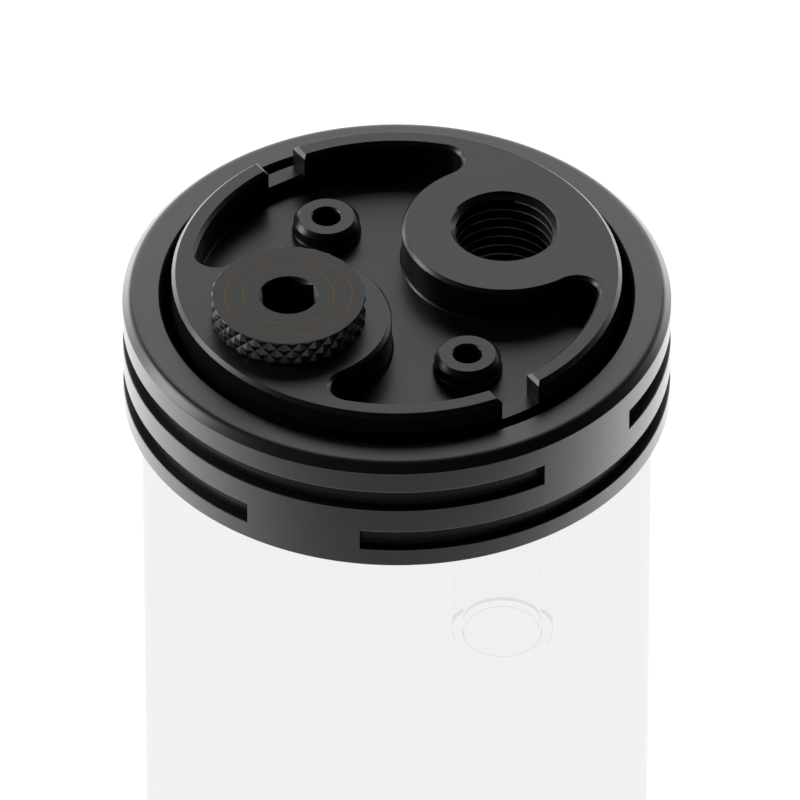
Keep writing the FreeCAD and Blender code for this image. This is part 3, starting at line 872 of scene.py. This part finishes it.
def piece_from(name: str, mesh: bmesh.types.BMesh, finish: bpy.types.Material,
               sharp: float = SHARP_ANGLE, outwards: bool = True) -> bpy.types.Object:
    """Make an object of a mesh: welded, faces outwards, smooth between its sharp edges.

    Args:
        name: the piece's name.
        mesh: the mesh, which is used up.
        finish: its material.
        sharp: edges that turn by more than this many degrees stay sharp.
        outwards: whether to turn the faces outwards.

    Returns:
        The object, linked into the scene.
    """
    bmesh.ops.remove_doubles(mesh, verts=mesh.verts, dist=WELD)
    if outwards:
        bmesh.ops.recalc_face_normals(mesh, faces=mesh.faces)
    for face in mesh.faces:
        face.smooth = True
    for edge in mesh.edges:
        edge.smooth = edge.calc_face_angle(math.pi) < math.radians(sharp)
    data = bpy.data.meshes.new(name)
    mesh.to_mesh(data)
    mesh.free()
    data.materials.append(finish)
    piece = bpy.data.objects.new(name, data)
    bpy.context.scene.collection.objects.link(piece)
    piece.modifiers.new("flat_faces_flat", "WEIGHTED_NORMAL").keep_sharp = True
    piece.data = plain_mesh(piece)
    piece.modifiers.clear()
    bpy.data.meshes.remove(data)
    piece.data.name = name
    return piece


def mark_faces(mesh: bmesh.types.BMesh, level: float, chosen: Callable[[Vector], bool]) -> None:
    """Set the painted light mark of the faces whose every point is chosen.

    Args:
        mesh: the mesh in the making.
        level: the mark.
        chosen: tells the points.
    """
    layers = mesh.faces.layers.float
    layer = layers.get(PAINTED_LIGHT_MARK) or layers.new(PAINTED_LIGHT_MARK)
    for face in mesh.faces:
        if all(chosen(vert.co) for vert in face.verts):
            face[layer] = level


def absorb(mesh: bmesh.types.BMesh, grown: bpy.types.Mesh) -> None:
    """Add a grown mesh to a mesh in the making, and drop it."""
    mesh.from_mesh(grown)
    bpy.data.meshes.remove(grown)


def hand_over(piece: bpy.types.Object, body: str, slot: Slot, *nodes: str) -> None:
    """Set a piece on its body in place of its solids.

    Args:
        piece: the finished piece.
        body: the body it rides on.
        slot: the record's slot it takes its finish from; not used.
        nodes: the solids it stands for.
    """
    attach(piece, body)
    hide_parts(*nodes)
    LOG.info("%s rides on %s: %d faces", piece.name, body, len(piece.data.polygons))


# Sub-assemblies


@dataclass(frozen=True)
class ScrewThread:
    """Right-hand screw thread with straight flanks, and flats on crest and root."""

    pitch: float
    minor: float
    major: float
    gap: float = 0.12 * MM
    flat: float = 1 / 6

    @property
    def slope(self) -> float:
        """Half the width that the groove loses per unit of depth."""
        return self.pitch * (0.5 - self.flat) / (self.major - self.minor)

    def groove(self, radius: float) -> float:
        """Width of the groove at a radius."""
        return self.pitch * self.flat + 2 * self.slope * (self.major - radius)

    def male_ridge(self) -> dict[str, float]:
        """Sizes of the ridge that runs in the groove with the gap on every side."""
        side_room = 2 * self.gap * math.hypot(1, self.slope)
        outer = self.major - self.gap
        return {
            "Inner": self.minor - 2 * self.gap,
            "Outer": outer,
            "Inner_Width": self.groove(self.minor - self.gap) - side_room,
            "Outer_Width": self.groove(outer) - side_room,
            "Pitch": self.pitch,
        }


PORT_THREAD = ScrewThread(1.337 * MM, 5.7225 * MM, 6.5785 * MM)
PORT_OFFSET = 15.0 * MM


@dataclass(frozen=True)
class ClearTube:
    """The reservoir's clear tube."""

    radius: float = 30.0 * MM
    wall: float = 3.0 * MM
    edge: float = 0.4 * MM
    steps: int = 256

    def build(self, finishes: Finishes) -> None:
        """Turn the tube and set it in the frame.

        Args:
            finishes: the materials.
        """
        low, high = (corner.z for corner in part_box("glass_tube"))
        mesh = bmesh.new()
        lathe(mesh, broken_wall(self.radius - self.wall, self.radius, low, high, self.edge), self.steps)
        # Painted shade on the tube's outer broken edges.
        mark_faces(mesh, PAINTED_EDGE_SHADE_MARK, lambda point: point.xy.length > self.radius - self.edge / 2)
        tube = piece_from("tube_wall", mesh, finishes.of(Slot.TUBE))
        tube.visible_shadow = False
        hand_over(tube, "root", Slot.TUBE, "glass_tube")


@dataclass(frozen=True)
class DropPipe:
    """Clear pipe that hangs from the open upper port."""

    radius: float = 6.0 * MM
    wall: float = 1.5 * MM
    edge: float = 0.25 * MM
    lip: float = 0.12 * MM
    painted_shade: float = 0.05
    steps: int = 128

    def build(self, finishes: Finishes) -> None:
        """Turn the pipe and hang it under its port.

        Args:
            finishes: the materials.
        """
        low, high = (corner.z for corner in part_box("drop_tube"))
        bore = self.radius - self.wall
        mesh = bmesh.new()
        lathe(mesh, [
            (bore, high), (self.radius - self.edge, high), (self.radius, high - self.edge),
            (self.radius, low + self.edge), (self.radius - self.edge, low),
            (bore + self.lip, low), (bore, low),
        ], self.steps)
        # Painted shade: a light grey over the outer wall, darker on the edges of the lower end.
        mark_faces(mesh, self.painted_shade, lambda point: point.xy.length > self.radius - self.edge / 2)
        mark_faces(mesh, PAINTED_EDGE_SHADE_MARK, lambda point: point.z < low + 2 * self.edge
                   and point.xy.length > self.radius - 2 * self.edge)
        mark_faces(mesh, PAINTED_EDGE_SHADE_MARK, lambda point: point.z < low + self.edge
                   and point.xy.length < bore + 2 * self.lip)
        shift(mesh, Matrix.Translation((PORT_OFFSET, 0, 0)))
        pipe = piece_from("drop_pipe", mesh, finishes.of(Slot.PIPE))
        pipe.visible_shadow = False
        hand_over(pipe, "top_plate", Slot.PIPE, "drop_tube")


@dataclass(frozen=True)
class SlotLevel:
    """One level of long slots in a collar, with bridges left between them."""

    top: float
    bridge_at: float
    height: float = 2.65 * MM
    edge: float = 0.16 * MM
    bridge: float = 25.0
    count: int = 2

    @property
    def low(self) -> float:
        """Height of the slots' lower faces."""
        return self.top - self.height

    def ends(self) -> list[float]:
        """Angles of the slots' end walls, in degrees from 0 to 360."""
        step = 360.0 / self.count
        middles = (self.bridge_at + copy * step for copy in range(self.count))
        return [(middle + side * self.bridge / 2) % 360 for middle in middles for side in (-1, 1)]

    def is_open(self, angle: float) -> bool:
        """Whether a slot is cut at an angle in degrees."""
        step = 360.0 / self.count
        offset = (angle - self.bridge_at + step / 2) % step - step / 2
        return abs(offset) > self.bridge / 2

    def on_upper_lip(self, point: Vector, outer: float) -> bool:
        """Whether a point in the end's frame lies on the rounded upper lip, which gets a painted highlight.
        """
        angle = math.degrees(math.atan2(point.y, point.x))
        level_with_lip = abs(point.z - self.top - self.edge / 2) < self.edge / 2 + WELD
        return level_with_lip and point.xy.length > outer - self.edge - WELD and self.is_open(angle)

    def on_back(self, point: Vector, back: float) -> bool:
        """Whether a point in the end's frame lies on a slot's back wall, which gets painted shade."""
        return abs(point.xy.length - back) < WELD and self.low - WELD < point.z < self.top + WELD

    def section(self, outer: float, back: float, rounding: int = 3) -> Outline:
        """Outline of a slot from its upper lip in along the back and out over its lower lip.

        Args:
            outer: radius of the collar's outside.
            back: radius of the slot's back wall.
            rounding: steps over each rounded lip.

        Returns:
            The points in order, downwards.
        """
        turns = [math.pi / 2 * step / rounding for step in range(rounding + 1)]
        inner = outer - self.edge
        upper = [(inner + self.edge * math.cos(t), self.top + self.edge * (1 - math.sin(t))) for t in turns]
        lower = [(inner + self.edge * math.sin(t), self.low - self.edge * (1 - math.cos(t))) for t in turns]
        return upper + [(back, self.top), (back, self.low)] + lower


@dataclass(frozen=True)
class Collar:
    """Slotted collar of one end: a sleeve round the tube with a threaded mouth."""

    end: End
    radius: float = 32.0 * MM
    bore: float = 30.05 * MM
    height: float = 15.0 * MM
    mouth: float = 27.47 * MM
    mouth_edge: float = 0.3 * MM
    edge: float = 1.0 * MM
    brow: float = 0.45 * MM
    foot_edge: float = 0.35 * MM
    trench: float = 3.4 * MM
    thread_end: float = 6.8 * MM
    shoulder: float = 7.5 * MM
    relief: float = 27.44 * MM
    grip_middle: float = 13.7 * MM
    grip_half: float = 0.65 * MM
    grip_root: float = 31.2 * MM
    slot_back: float = 30.95 * MM
    softness: float = 0.07 * MM
    painted_lip_highlight: float = 0.4
    painted_back_shade: float = -0.75
    ridge_start: float = -4.5
    ridge_turns: float = 1.8
    ridge_steps: int = 240
    sharp: float = 36.0
    step: float = 2.0
    thread: ScrewThread = ScrewThread(1.5 * MM, 26.72 * MM, 27.32 * MM)
    levels: tuple[SlotLevel, ...] = (SlotLevel(-3.8 * MM, -78.4), SlotLevel(-9.75 * MM, -143.4))

    def mouth_outline(self) -> Outline:
        """Outline from the foot in over the bore, the shoulder and the mouth to the outside's upper edge."""
        grip_low, grip_high = -self.grip_middle - self.grip_half, -self.grip_middle + self.grip_half
        brow = soft_outline([(self.mouth + self.mouth_edge, 0.0), (self.radius - self.edge, 0.0),
                             (self.radius, -self.edge)], self.brow)
        return [
            (self.radius - self.foot_edge, -self.height), (self.bore, -self.height),
            (self.bore, grip_low), (self.grip_root, grip_low),
            (self.grip_root, grip_high), (self.bore, grip_high),
            (self.bore, -self.shoulder), (self.relief, -self.shoulder),
            (self.relief, -self.thread_end), (self.thread.major, -self.thread_end),
            (self.thread.major, -self.trench), (self.mouth, -self.trench),
            (self.mouth, -self.mouth_edge), *brow,
        ]

    def outline(self, angle: float) -> Outline:
        """Closed outline of the collar at an angle in degrees, with the slots cut there."""
        soft = soft_outline([(self.radius, -self.height + self.foot_edge), *self.mouth_outline(),
                             (self.radius, self.levels[0].top + self.levels[0].edge)], self.softness)
        for level in self.levels:
            section = level.section(self.radius, self.slot_back)
            soft += section if level.is_open(angle) else [section[0], section[-1]]
        return soft

    def stations(self) -> list[float]:
        """Angles in degrees at which the outline is drawn, with every slot end among them."""
        even = (count * self.step for count in range(round(360 / self.step)))
        ends = [angle for level in self.levels for angle in level.ends()]
        kept = [angle for angle in even if all(abs(angle - end) > self.step / 4 for end in ends)]
        return sorted(kept + ends)

    def in_trench(self, point: Vector) -> bool:
        """Whether a point in the end's frame lies in the trench or the thread below it, which gets painted
        shade.
        """
        return point.z < -2 * self.mouth_edge and point.xy.length < self.mouth + self.softness

    def build(self, finishes: Finishes) -> None:
        """Draw the collar and set it in the frame.

        Args:
            finishes: the materials.
        """
        finish = finishes.of(Slot.COLLAR)
        mesh = bmesh.new()
        weave = PointWeave(mesh)
        stations = self.stations()
        for first, second in zip(stations, stations[1:] + [stations[0] + 360.0]):
            outline = self.outline((first + second) / 2)
            for near, far in zip(outline, outline[1:] + outline[:1]):
                weave.face([(near, first), (far, first), (far, second), (near, second)])
        for level in self.levels:
            for end in level.ends():
                weave.face([(point, end) for point in level.section(self.radius, self.slot_back)])
        ridge = bmesh.new()
        buried = self.thread.major + self.softness
        absorb(ridge, thread_tree().grow(
            finish, Inner=self.thread.minor, Outer=buried, Pitch=self.thread.pitch,
            Inner_Width=self.thread.pitch - self.thread.groove(self.thread.minor),
            Outer_Width=self.thread.pitch - self.thread.groove(buried),
            Low=self.ridge_start * self.thread.pitch, Turns=self.ridge_turns, Steps=self.ridge_steps))
        merge(mesh, ridge)
        # Painted shade in the trench and on the slots' back walls, painted highlight on the slots' upper
        # lips.
        mark_faces(mesh, PAINTED_SHADE_MARK, self.in_trench)
        for level in self.levels:
            mark_faces(mesh, self.painted_lip_highlight, lambda point: level.on_upper_lip(point, self.radius))
            mark_faces(mesh, self.painted_back_shade, lambda point: level.on_back(point, self.slot_back))
        shift(mesh, self.end.place())
        collar = piece_from(self.end.node("collar_sleeve"), mesh, finish, self.sharp)
        hand_over(collar, "root", Slot.COLLAR, self.end.node("collar"))


@dataclass(frozen=True)
class PortPlate:
    """Port plate of one end, with its rim, lobes, bosses and ports."""

    end: End
    port_reach: float = 6.65 * MM
    mouth: float = 2.3 * MM
    crest_reach: float = 0.03 * MM
    trench: float = 24.0 * MM
    wall: float = 26.2 * MM
    rounding: float = 0.06 * MM
    rounding_steps: int = 2
    roundness: float = 0.5
    relief_floor: float = -1.5 * MM
    sharp: float = SHARP_ANGLE

    def from_port(self, point: Vector) -> float:
        """Distance of a point in the end's frame from the nearer port's axis."""
        return min(math.hypot(point.x - side * PORT_OFFSET, point.y) for side in (-1, 1))

    def on_crest(self, point: Vector) -> bool:
        """Whether a point in the end's frame lies on the thread crest of a port, which gets a painted
        highlight.
        """
        return point.z < self.mouth and abs(self.from_port(point) - PORT_THREAD.minor) < self.crest_reach

    def in_painted_shade(self, point: Vector) -> bool:
        """Whether a point in the end's frame lies on the rim's outer wall or down in the trench, which gets
        painted shade.
        """
        reach = point.xy.length
        return reach > self.wall or reach > self.trench and point.z < self.relief_floor

    def on_relief(self, edge: bmesh.types.BMEdge) -> bool:
        """Whether an edge in the end's frame is a sharp one of the outer relief, clear of the ports."""
        points = [vert.co for vert in edge.verts]
        return edge.calc_face_angle(0.0) > math.radians(self.sharp) and all(
            point.z > self.relief_floor and self.from_port(point) > self.port_reach for point in points)

    def build(self, finishes: Finishes) -> None:
        """Draw the plate and set it in the frame.

        Args:
            finishes: the materials.
        """
        node = self.end.node("port_plate")
        place = self.end.place()
        mesh = solid_copy(node)
        shift(mesh, place.inverted())
        bmesh.ops.bevel(mesh, geom=[edge for edge in mesh.edges if self.on_relief(edge)],
                        offset=self.rounding, offset_type="OFFSET", segments=self.rounding_steps,
                        profile=self.roundness, affect="EDGES", clamp_overlap=True)
        # Painted highlight on the thread crests, painted shade on the rim's outer wall and in the trench.
        mark_faces(mesh, PAINTED_HIGHLIGHT_MARK, self.on_crest)
        mark_faces(mesh, PAINTED_SHADE_MARK, self.in_painted_shade)
        shift(mesh, place)
        plate = piece_from(self.end.node("ported_plate"), mesh, finishes.of(Slot.PLATE), self.sharp)
        hand_over(plate, self.end.node("plate"), Slot.PLATE, node)


@dataclass(frozen=True)
class ScrewPlug:
    """Screw plug with a round head, a hex socket, a ring gland and a threaded shank."""

    name: str
    end: End
    seat: float
    head_radius: float
    head_height: float
    knurl_points: int = 0
    inlay_radii: tuple[float, ...] = ()
    head_edge: float = 0.4 * MM
    knurl_rows: int = 3
    knurl_depth: float = 0.3 * MM
    knurl_edge: float = 0.12 * MM
    rim_edge: float = 0.04 * MM
    head_gap: float = 0.1 * MM
    shank: float = 8.0 * MM
    tip_edge: float = 0.8 * MM
    hex_flat: float = 3.0 * MM
    hex_depth: float = 4.5 * MM
    hex_edge: float = 0.45 * MM
    hex_sides: int = 6
    seal_section: float = PLUG_SEAL
    seal_gap: float = 0.1 * MM
    seal_wall: float = 0.5 * MM
    inlay_width: float = 0.18 * MM
    inlay_depth: float = 0.25 * MM
    inlay_fit: float = 0.02 * MM
    first_turn: int = -3
    turns: float = 4.0
    steps: int = 120

    @property
    def under(self) -> float:
        """Height of the head's lower face."""
        return self.seat + self.head_gap

    @property
    def top(self) -> float:
        """Height of the head's top."""
        return self.under + self.head_height

    @property
    def axis(self) -> Matrix:
        """Where the plug's own axis stands."""
        return self.end.place() @ Matrix.Translation((-PORT_OFFSET, 0, 0))

    @property
    def seal_radius(self) -> float:
        """Middle radius of the rubber ring under the head."""
        return self.head_radius - self.seal_wall - self.seal_gap - self.seal_section / 2

    def top_outline(self) -> Outline:
        """Outline of the head's top from near its rim in to the last inlay groove."""
        outline = [(self.head_radius - 2 * self.head_edge, self.top)]
        half = self.inlay_width / 2 + self.inlay_fit
        floor = self.top - self.inlay_depth
        for radius in sorted(self.inlay_radii, reverse=True):
            outline += [(radius + half, self.top), (radius + half, floor),
                        (radius - half, floor), (radius - half, self.top)]
        return outline

    def under_outline(self) -> Outline:
        """Outline from the ring gland's outer wall in and down the shank to its tip."""
        half = self.seal_section / 2 + self.seal_gap
        roof = self.seat + 2 * self.seal_gap + self.seal_section
        core = PORT_THREAD.minor - PORT_THREAD.gap
        tip = self.under - self.shank
        return [
            (self.seal_radius + half, self.under), (self.seal_radius + half, roof),
            (self.seal_radius - half, roof), (self.seal_radius - half, self.under),
            (core, self.under), (core, tip + self.tip_edge), (core - self.tip_edge, tip), (0.0, tip),
        ]

    def hex_radius(self, angle: float) -> float:
        """Distance from the axis to the socket's wall at an angle."""
        side = FULL_TURN / self.hex_sides
        return self.hex_flat / math.cos(angle % side - side / 2)

    def socket(self, mesh: bmesh.types.BMesh, rim: Ring) -> None:
        """Sink the hex socket with its coned mouth.

        Args:
            mesh: the mesh to add to.
            rim: the innermost ring of the head's top.
        """
        angles = [FULL_TURN * step / self.steps for step in range(self.steps)]
        mouth = round_ring(mesh, self.hex_flat + self.hex_edge, self.top, self.steps)
        upper, lower = [], []
        for angle in angles:
            radius = self.hex_radius(angle)
            drop = max(self.hex_flat + self.hex_edge - radius, 0.0)
            point = Vector((radius * math.cos(angle), radius * math.sin(angle), 0))
            upper.append(mesh.verts.new(point + Vector((0, 0, self.top - drop))))
            lower.append(mesh.verts.new(point + Vector((0, 0, self.top - self.hex_depth))))
        for first, second in ((rim, mouth), (mouth, upper), (upper, lower)):
            stitch(mesh, first, second)
        mesh.faces.new(lower)

    def plain_side(self, mesh: bmesh.types.BMesh) -> tuple[Ring, Ring]:
        """Turn a plain side with broken edges.

        Args:
            mesh: the mesh to add to.

        Returns:
            The rings where the side meets the head's top and its lower face.
        """
        rings = skin(mesh, [
            (self.head_radius - self.head_edge, self.top), (self.head_radius, self.top - self.head_edge),
            (self.head_radius, self.under + self.head_edge),
            (self.head_radius - self.head_edge, self.under),
        ], self.steps)
        return rings[0], rings[-1]

    def knurled_side(self, mesh: bmesh.types.BMesh, finish: bpy.types.Material) -> tuple[Ring, Ring]:
        """Grow a knurled side, whose grooves run out over both edges.

        Args:
            mesh: the mesh to add to.
            finish: the plug's material.

        Returns:
            The rings where the side meets the head's top and its lower face.
        """
        low, high = self.under + self.knurl_edge, self.top - self.knurl_edge
        absorb(mesh, knurl_tree().grow(
            finish, Points_Round=self.knurl_points, Half_Rows=self.knurl_rows, Radius=self.head_radius,
            Depth=self.knurl_depth, Low=low, High=high))
        rims = []
        for level, z in ((high, self.top), (low, self.under)):
            edge = level_ring(mesh, level)
            rim = round_ring(mesh, self.head_radius - self.knurl_depth / 2 - self.rim_edge, z, len(edge))
            stitch(mesh, edge, rim)
            rims.append(rim)
        return rims[0], rims[1]

    def build(self, finishes: Finishes) -> None:
        """Draw the plug, and its inlay if it has one.

        Args:
            finishes: the materials.
        """
        finish = finishes.of(Slot.PLUG)
        mesh = bmesh.new()
        upper, lower = self.knurled_side(mesh, finish) if self.knurl_points else self.plain_side(mesh)
        top = skin(mesh, self.top_outline(), self.steps)
        under = skin(mesh, self.under_outline(), self.steps)
        stitch(mesh, upper, top[0])
        stitch(mesh, lower, under[0])
        self.socket(mesh, top[-1])
        ridge = bmesh.new()
        absorb(ridge, thread_tree().grow(
            finish, Low=self.first_turn * PORT_THREAD.pitch, Turns=self.turns, **PORT_THREAD.male_ridge()))
        merge(mesh, ridge)
        shift(mesh, self.axis)
        plug = piece_from(f"{self.name}_body", mesh, finish)
        hand_over(plug, self.name, Slot.PLUG, self.name)
        if self.inlay_radii:
            self.build_inlay(finishes)

    def build_inlay(self, finishes: Finishes) -> None:
        """Lay the fine metal rings into the head's top.

        Args:
            finishes: the materials.
        """
        mesh = bmesh.new()
        for radius in self.inlay_radii:
            half = self.inlay_width / 2
            low = self.top - self.inlay_depth
            lathe(mesh, [(radius - half, low), (radius + half, low),
                         (radius + half, self.top), (radius - half, self.top)], self.steps)
        shift(mesh, self.axis)
        inlay = piece_from(f"{self.name}_rings", mesh, finishes.of(Slot.INLAY))
        hand_over(inlay, self.name, Slot.INLAY, f"{self.name}_inlay")


@dataclass(frozen=True)
class RubberRing:
    """Rubber ring of round section."""

    node: str
    body: str
    section: float

    def build(self, finishes: Finishes) -> None:
        """Grow the ring in the box of its solid.

        Args:
            finishes: the materials.
        """
        low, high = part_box(self.node)
        middle = (low + high) / 2
        radius = (high.x - low.x - self.section) / 2
        mesh = bmesh.new()
        absorb(mesh, ring_tree().grow(finishes.of(Slot.RUBBER), Radius=radius, Section=self.section,
                                      Height=middle.z))
        shift(mesh, Matrix.Translation((middle.x, middle.y, 0)))
        ring = piece_from(f"{self.node}_ring", mesh, finishes.of(Slot.RUBBER))
        hand_over(ring, self.body, Slot.RUBBER, self.node)


@dataclass(frozen=True)
class EndGasket:
    """Flat rubber ring between the tube's end and its collar."""

    end: End
    outer: float = 29.8 * MM
    inner: float = 27.2 * MM
    edge: float = 0.08 * MM
    steps: int = 192

    def build(self, finishes: Finishes) -> None:
        """Turn the gasket with broken edges.

        Args:
            finishes: the materials.
        """
        node = self.end.node("end_gasket")
        low, high = (corner.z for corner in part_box(node))
        mesh = bmesh.new()
        lathe(mesh, broken_wall(self.inner, self.outer, low, high, self.edge), self.steps)
        gasket = piece_from(self.end.node("gasket"), mesh, finishes.of(Slot.RUBBER))
        hand_over(gasket, "root", Slot.RUBBER, node)


# Studio


@dataclass(frozen=True)
class SoftBox:
    """A flat studio lamp that faces a point."""

    name: str
    at: tuple[float, float, float]
    width: float
    height: float
    radiance: float

    def hang(self, aim: Vector) -> None:
        """Hang the lamp.

        Args:
            aim: the point it faces.
        """
        lamp = bpy.data.lights.new(self.name, "AREA")
        lamp.shape = "RECTANGLE"
        lamp.size = self.width
        lamp.size_y = self.height
        lamp.energy = self.radiance * math.pi * self.width * self.height
        box = bpy.data.objects.new(self.name, lamp)
        box.location = self.at
        box.rotation_euler = (aim - Vector(self.at)).to_track_quat("-Z", "Y").to_euler()
        box.visible_camera = False
        bpy.context.scene.collection.objects.link(box)


@dataclass(frozen=True)
class Studio:
    """Pale floor, soft lamps, white surroundings and the camera."""

    floor_half: float = 6.0
    ambient: float = 0.012
    lens: float = 793.6
    sensor: float = 36.0
    camera_at: tuple[float, float, float] = (-0.8670, -1.3256, 1.4664)
    camera_tilt: float = 50.11
    camera_heading: float = -33.2
    lamps: tuple[SoftBox, ...] = (
        SoftBox("back_box", (0.34, 0.52, 0.44), 0.8, 0.7, 1.88),
        SoftBox("left_box", (-0.55, 0.52, 0.51), 0.36, 0.26, 10.0),
        SoftBox("left_strip", (-0.16, 0.85, 0.18), 0.5, 0.35, 4.0),
        SoftBox("front_strip", (-0.49, -0.75, 0.1), 1.2, 0.18, 2.0),
        SoftBox("left_low", (-0.55, 0.58, 0.1), 0.35, 0.18, 7.0),
        SoftBox("right_strip", (0.8, 0.15, 0.18), 0.5, 0.35, 2.5),
    )

    def lay_floor(self) -> None:
        """Lay the floor under the reservoir."""
        mesh = bmesh.new()
        half = self.floor_half
        corners = ((-half, -half), (half, -half), (half, half), (-half, half))
        mesh.faces.new([mesh.verts.new((x, y, 0.0)) for x, y in corners])
        floor = piece_from("studio_floor", mesh, PaleFloor("floor_white").build(), outwards=False)

    def light(self) -> None:
        """Hang the lamps and make the surroundings white to the eye and dim to the surfaces."""
        aim = Vector((0, 0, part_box("top_collar")[1].z))
        for lamp in self.lamps:
            lamp.hang(aim)
        world = bpy.data.worlds.new("studio_air")
        world.use_nodes = True
        bpy.context.scene.world = world
        nodes, links = world.node_tree.nodes, world.node_tree.links
        nodes.clear()
        path = nodes.new("ShaderNodeLightPath")
        seen = nodes.new("ShaderNodeMath")
        seen.operation = "MAXIMUM"
        links.new(path.outputs["Is Camera Ray"], seen.inputs[0])
        links.new(path.outputs["Is Transmission Ray"], seen.inputs[1])
        level = nodes.new("ShaderNodeMapRange")
        level.inputs["To Min"].default_value = self.ambient
        level.inputs["To Max"].default_value = 1.0
        links.new(seen.outputs[0], level.inputs["Value"])
        air = nodes.new("ShaderNodeBackground")
        links.new(level.outputs["Result"], air.inputs["Strength"])
        links.new(air.outputs[0], nodes.new("ShaderNodeOutputWorld").inputs["Surface"])

    def set_camera(self) -> None:
        """Stand the camera where the photograph was taken from."""
        data = bpy.data.cameras.new("photo_camera")
        data.lens = self.lens
        data.sensor_width = self.sensor
        camera = bpy.data.objects.new("photo_camera", data)
        camera.location = self.camera_at
        camera.rotation_euler = (math.radians(self.camera_tilt), 0, math.radians(self.camera_heading))
        bpy.context.scene.collection.objects.link(camera)
        bpy.context.scene.camera = camera
        bpy.context.scene.view_settings.view_transform = "Standard"

    def build(self) -> None:
        """Set the studio up round the reservoir."""
        self.lay_floor()
        self.light()
        self.set_camera()
        LOG.info("studio with %d lamps", len(self.lamps))


def rubber_rings() -> list[RubberRing]:
    """Every rubber ring of round section in the reservoir."""
    rings = [
        RubberRing("drop_tube_seal", "top_plate", DROP_SEAL),
        RubberRing("fill_plug_seal", "fill_seal_carrier", PLUG_SEAL),
        RubberRing("drain_plug_seal", "drain_seal_carrier", PLUG_SEAL),
    ]
    for end in End:
        rings += [
            RubberRing(end.node("grip_ring"), "root", GRIP_RING),
            RubberRing(end.node("bore_seal_outer"), end.node("seal_carrier"), BORE_SEAL),
            RubberRing(end.node("bore_seal_inner"), end.node("seal_carrier"), BORE_SEAL),
        ]
    return rings


def main() -> None:
    """Build the reservoir and its studio, piece by piece."""
    logging.basicConfig(level=logging.INFO, format="%(message)s")
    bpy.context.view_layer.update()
    finishes = Finishes()
    parts = [
        ClearTube(),
        DropPipe(),
        ScrewPlug("fill_plug", End.TOP, seat=3.0 * MM, head_radius=9.0 * MM, head_height=3.1 * MM,
                  knurl_points=30, inlay_radii=(5.3 * MM, 7.4 * MM)),
        ScrewPlug("drain_plug", End.BOTTOM, seat=-0.2 * MM, head_radius=8.4 * MM, head_height=2.9 * MM,
                  first_turn=-5),
        *(piece(end) for end in End for piece in (Collar, PortPlate, EndGasket)),
        *rubber_rings(),
    ]
    for part in parts:
        part.build(finishes)
    Studio().build()


if __name__ == "__main__":
    main()
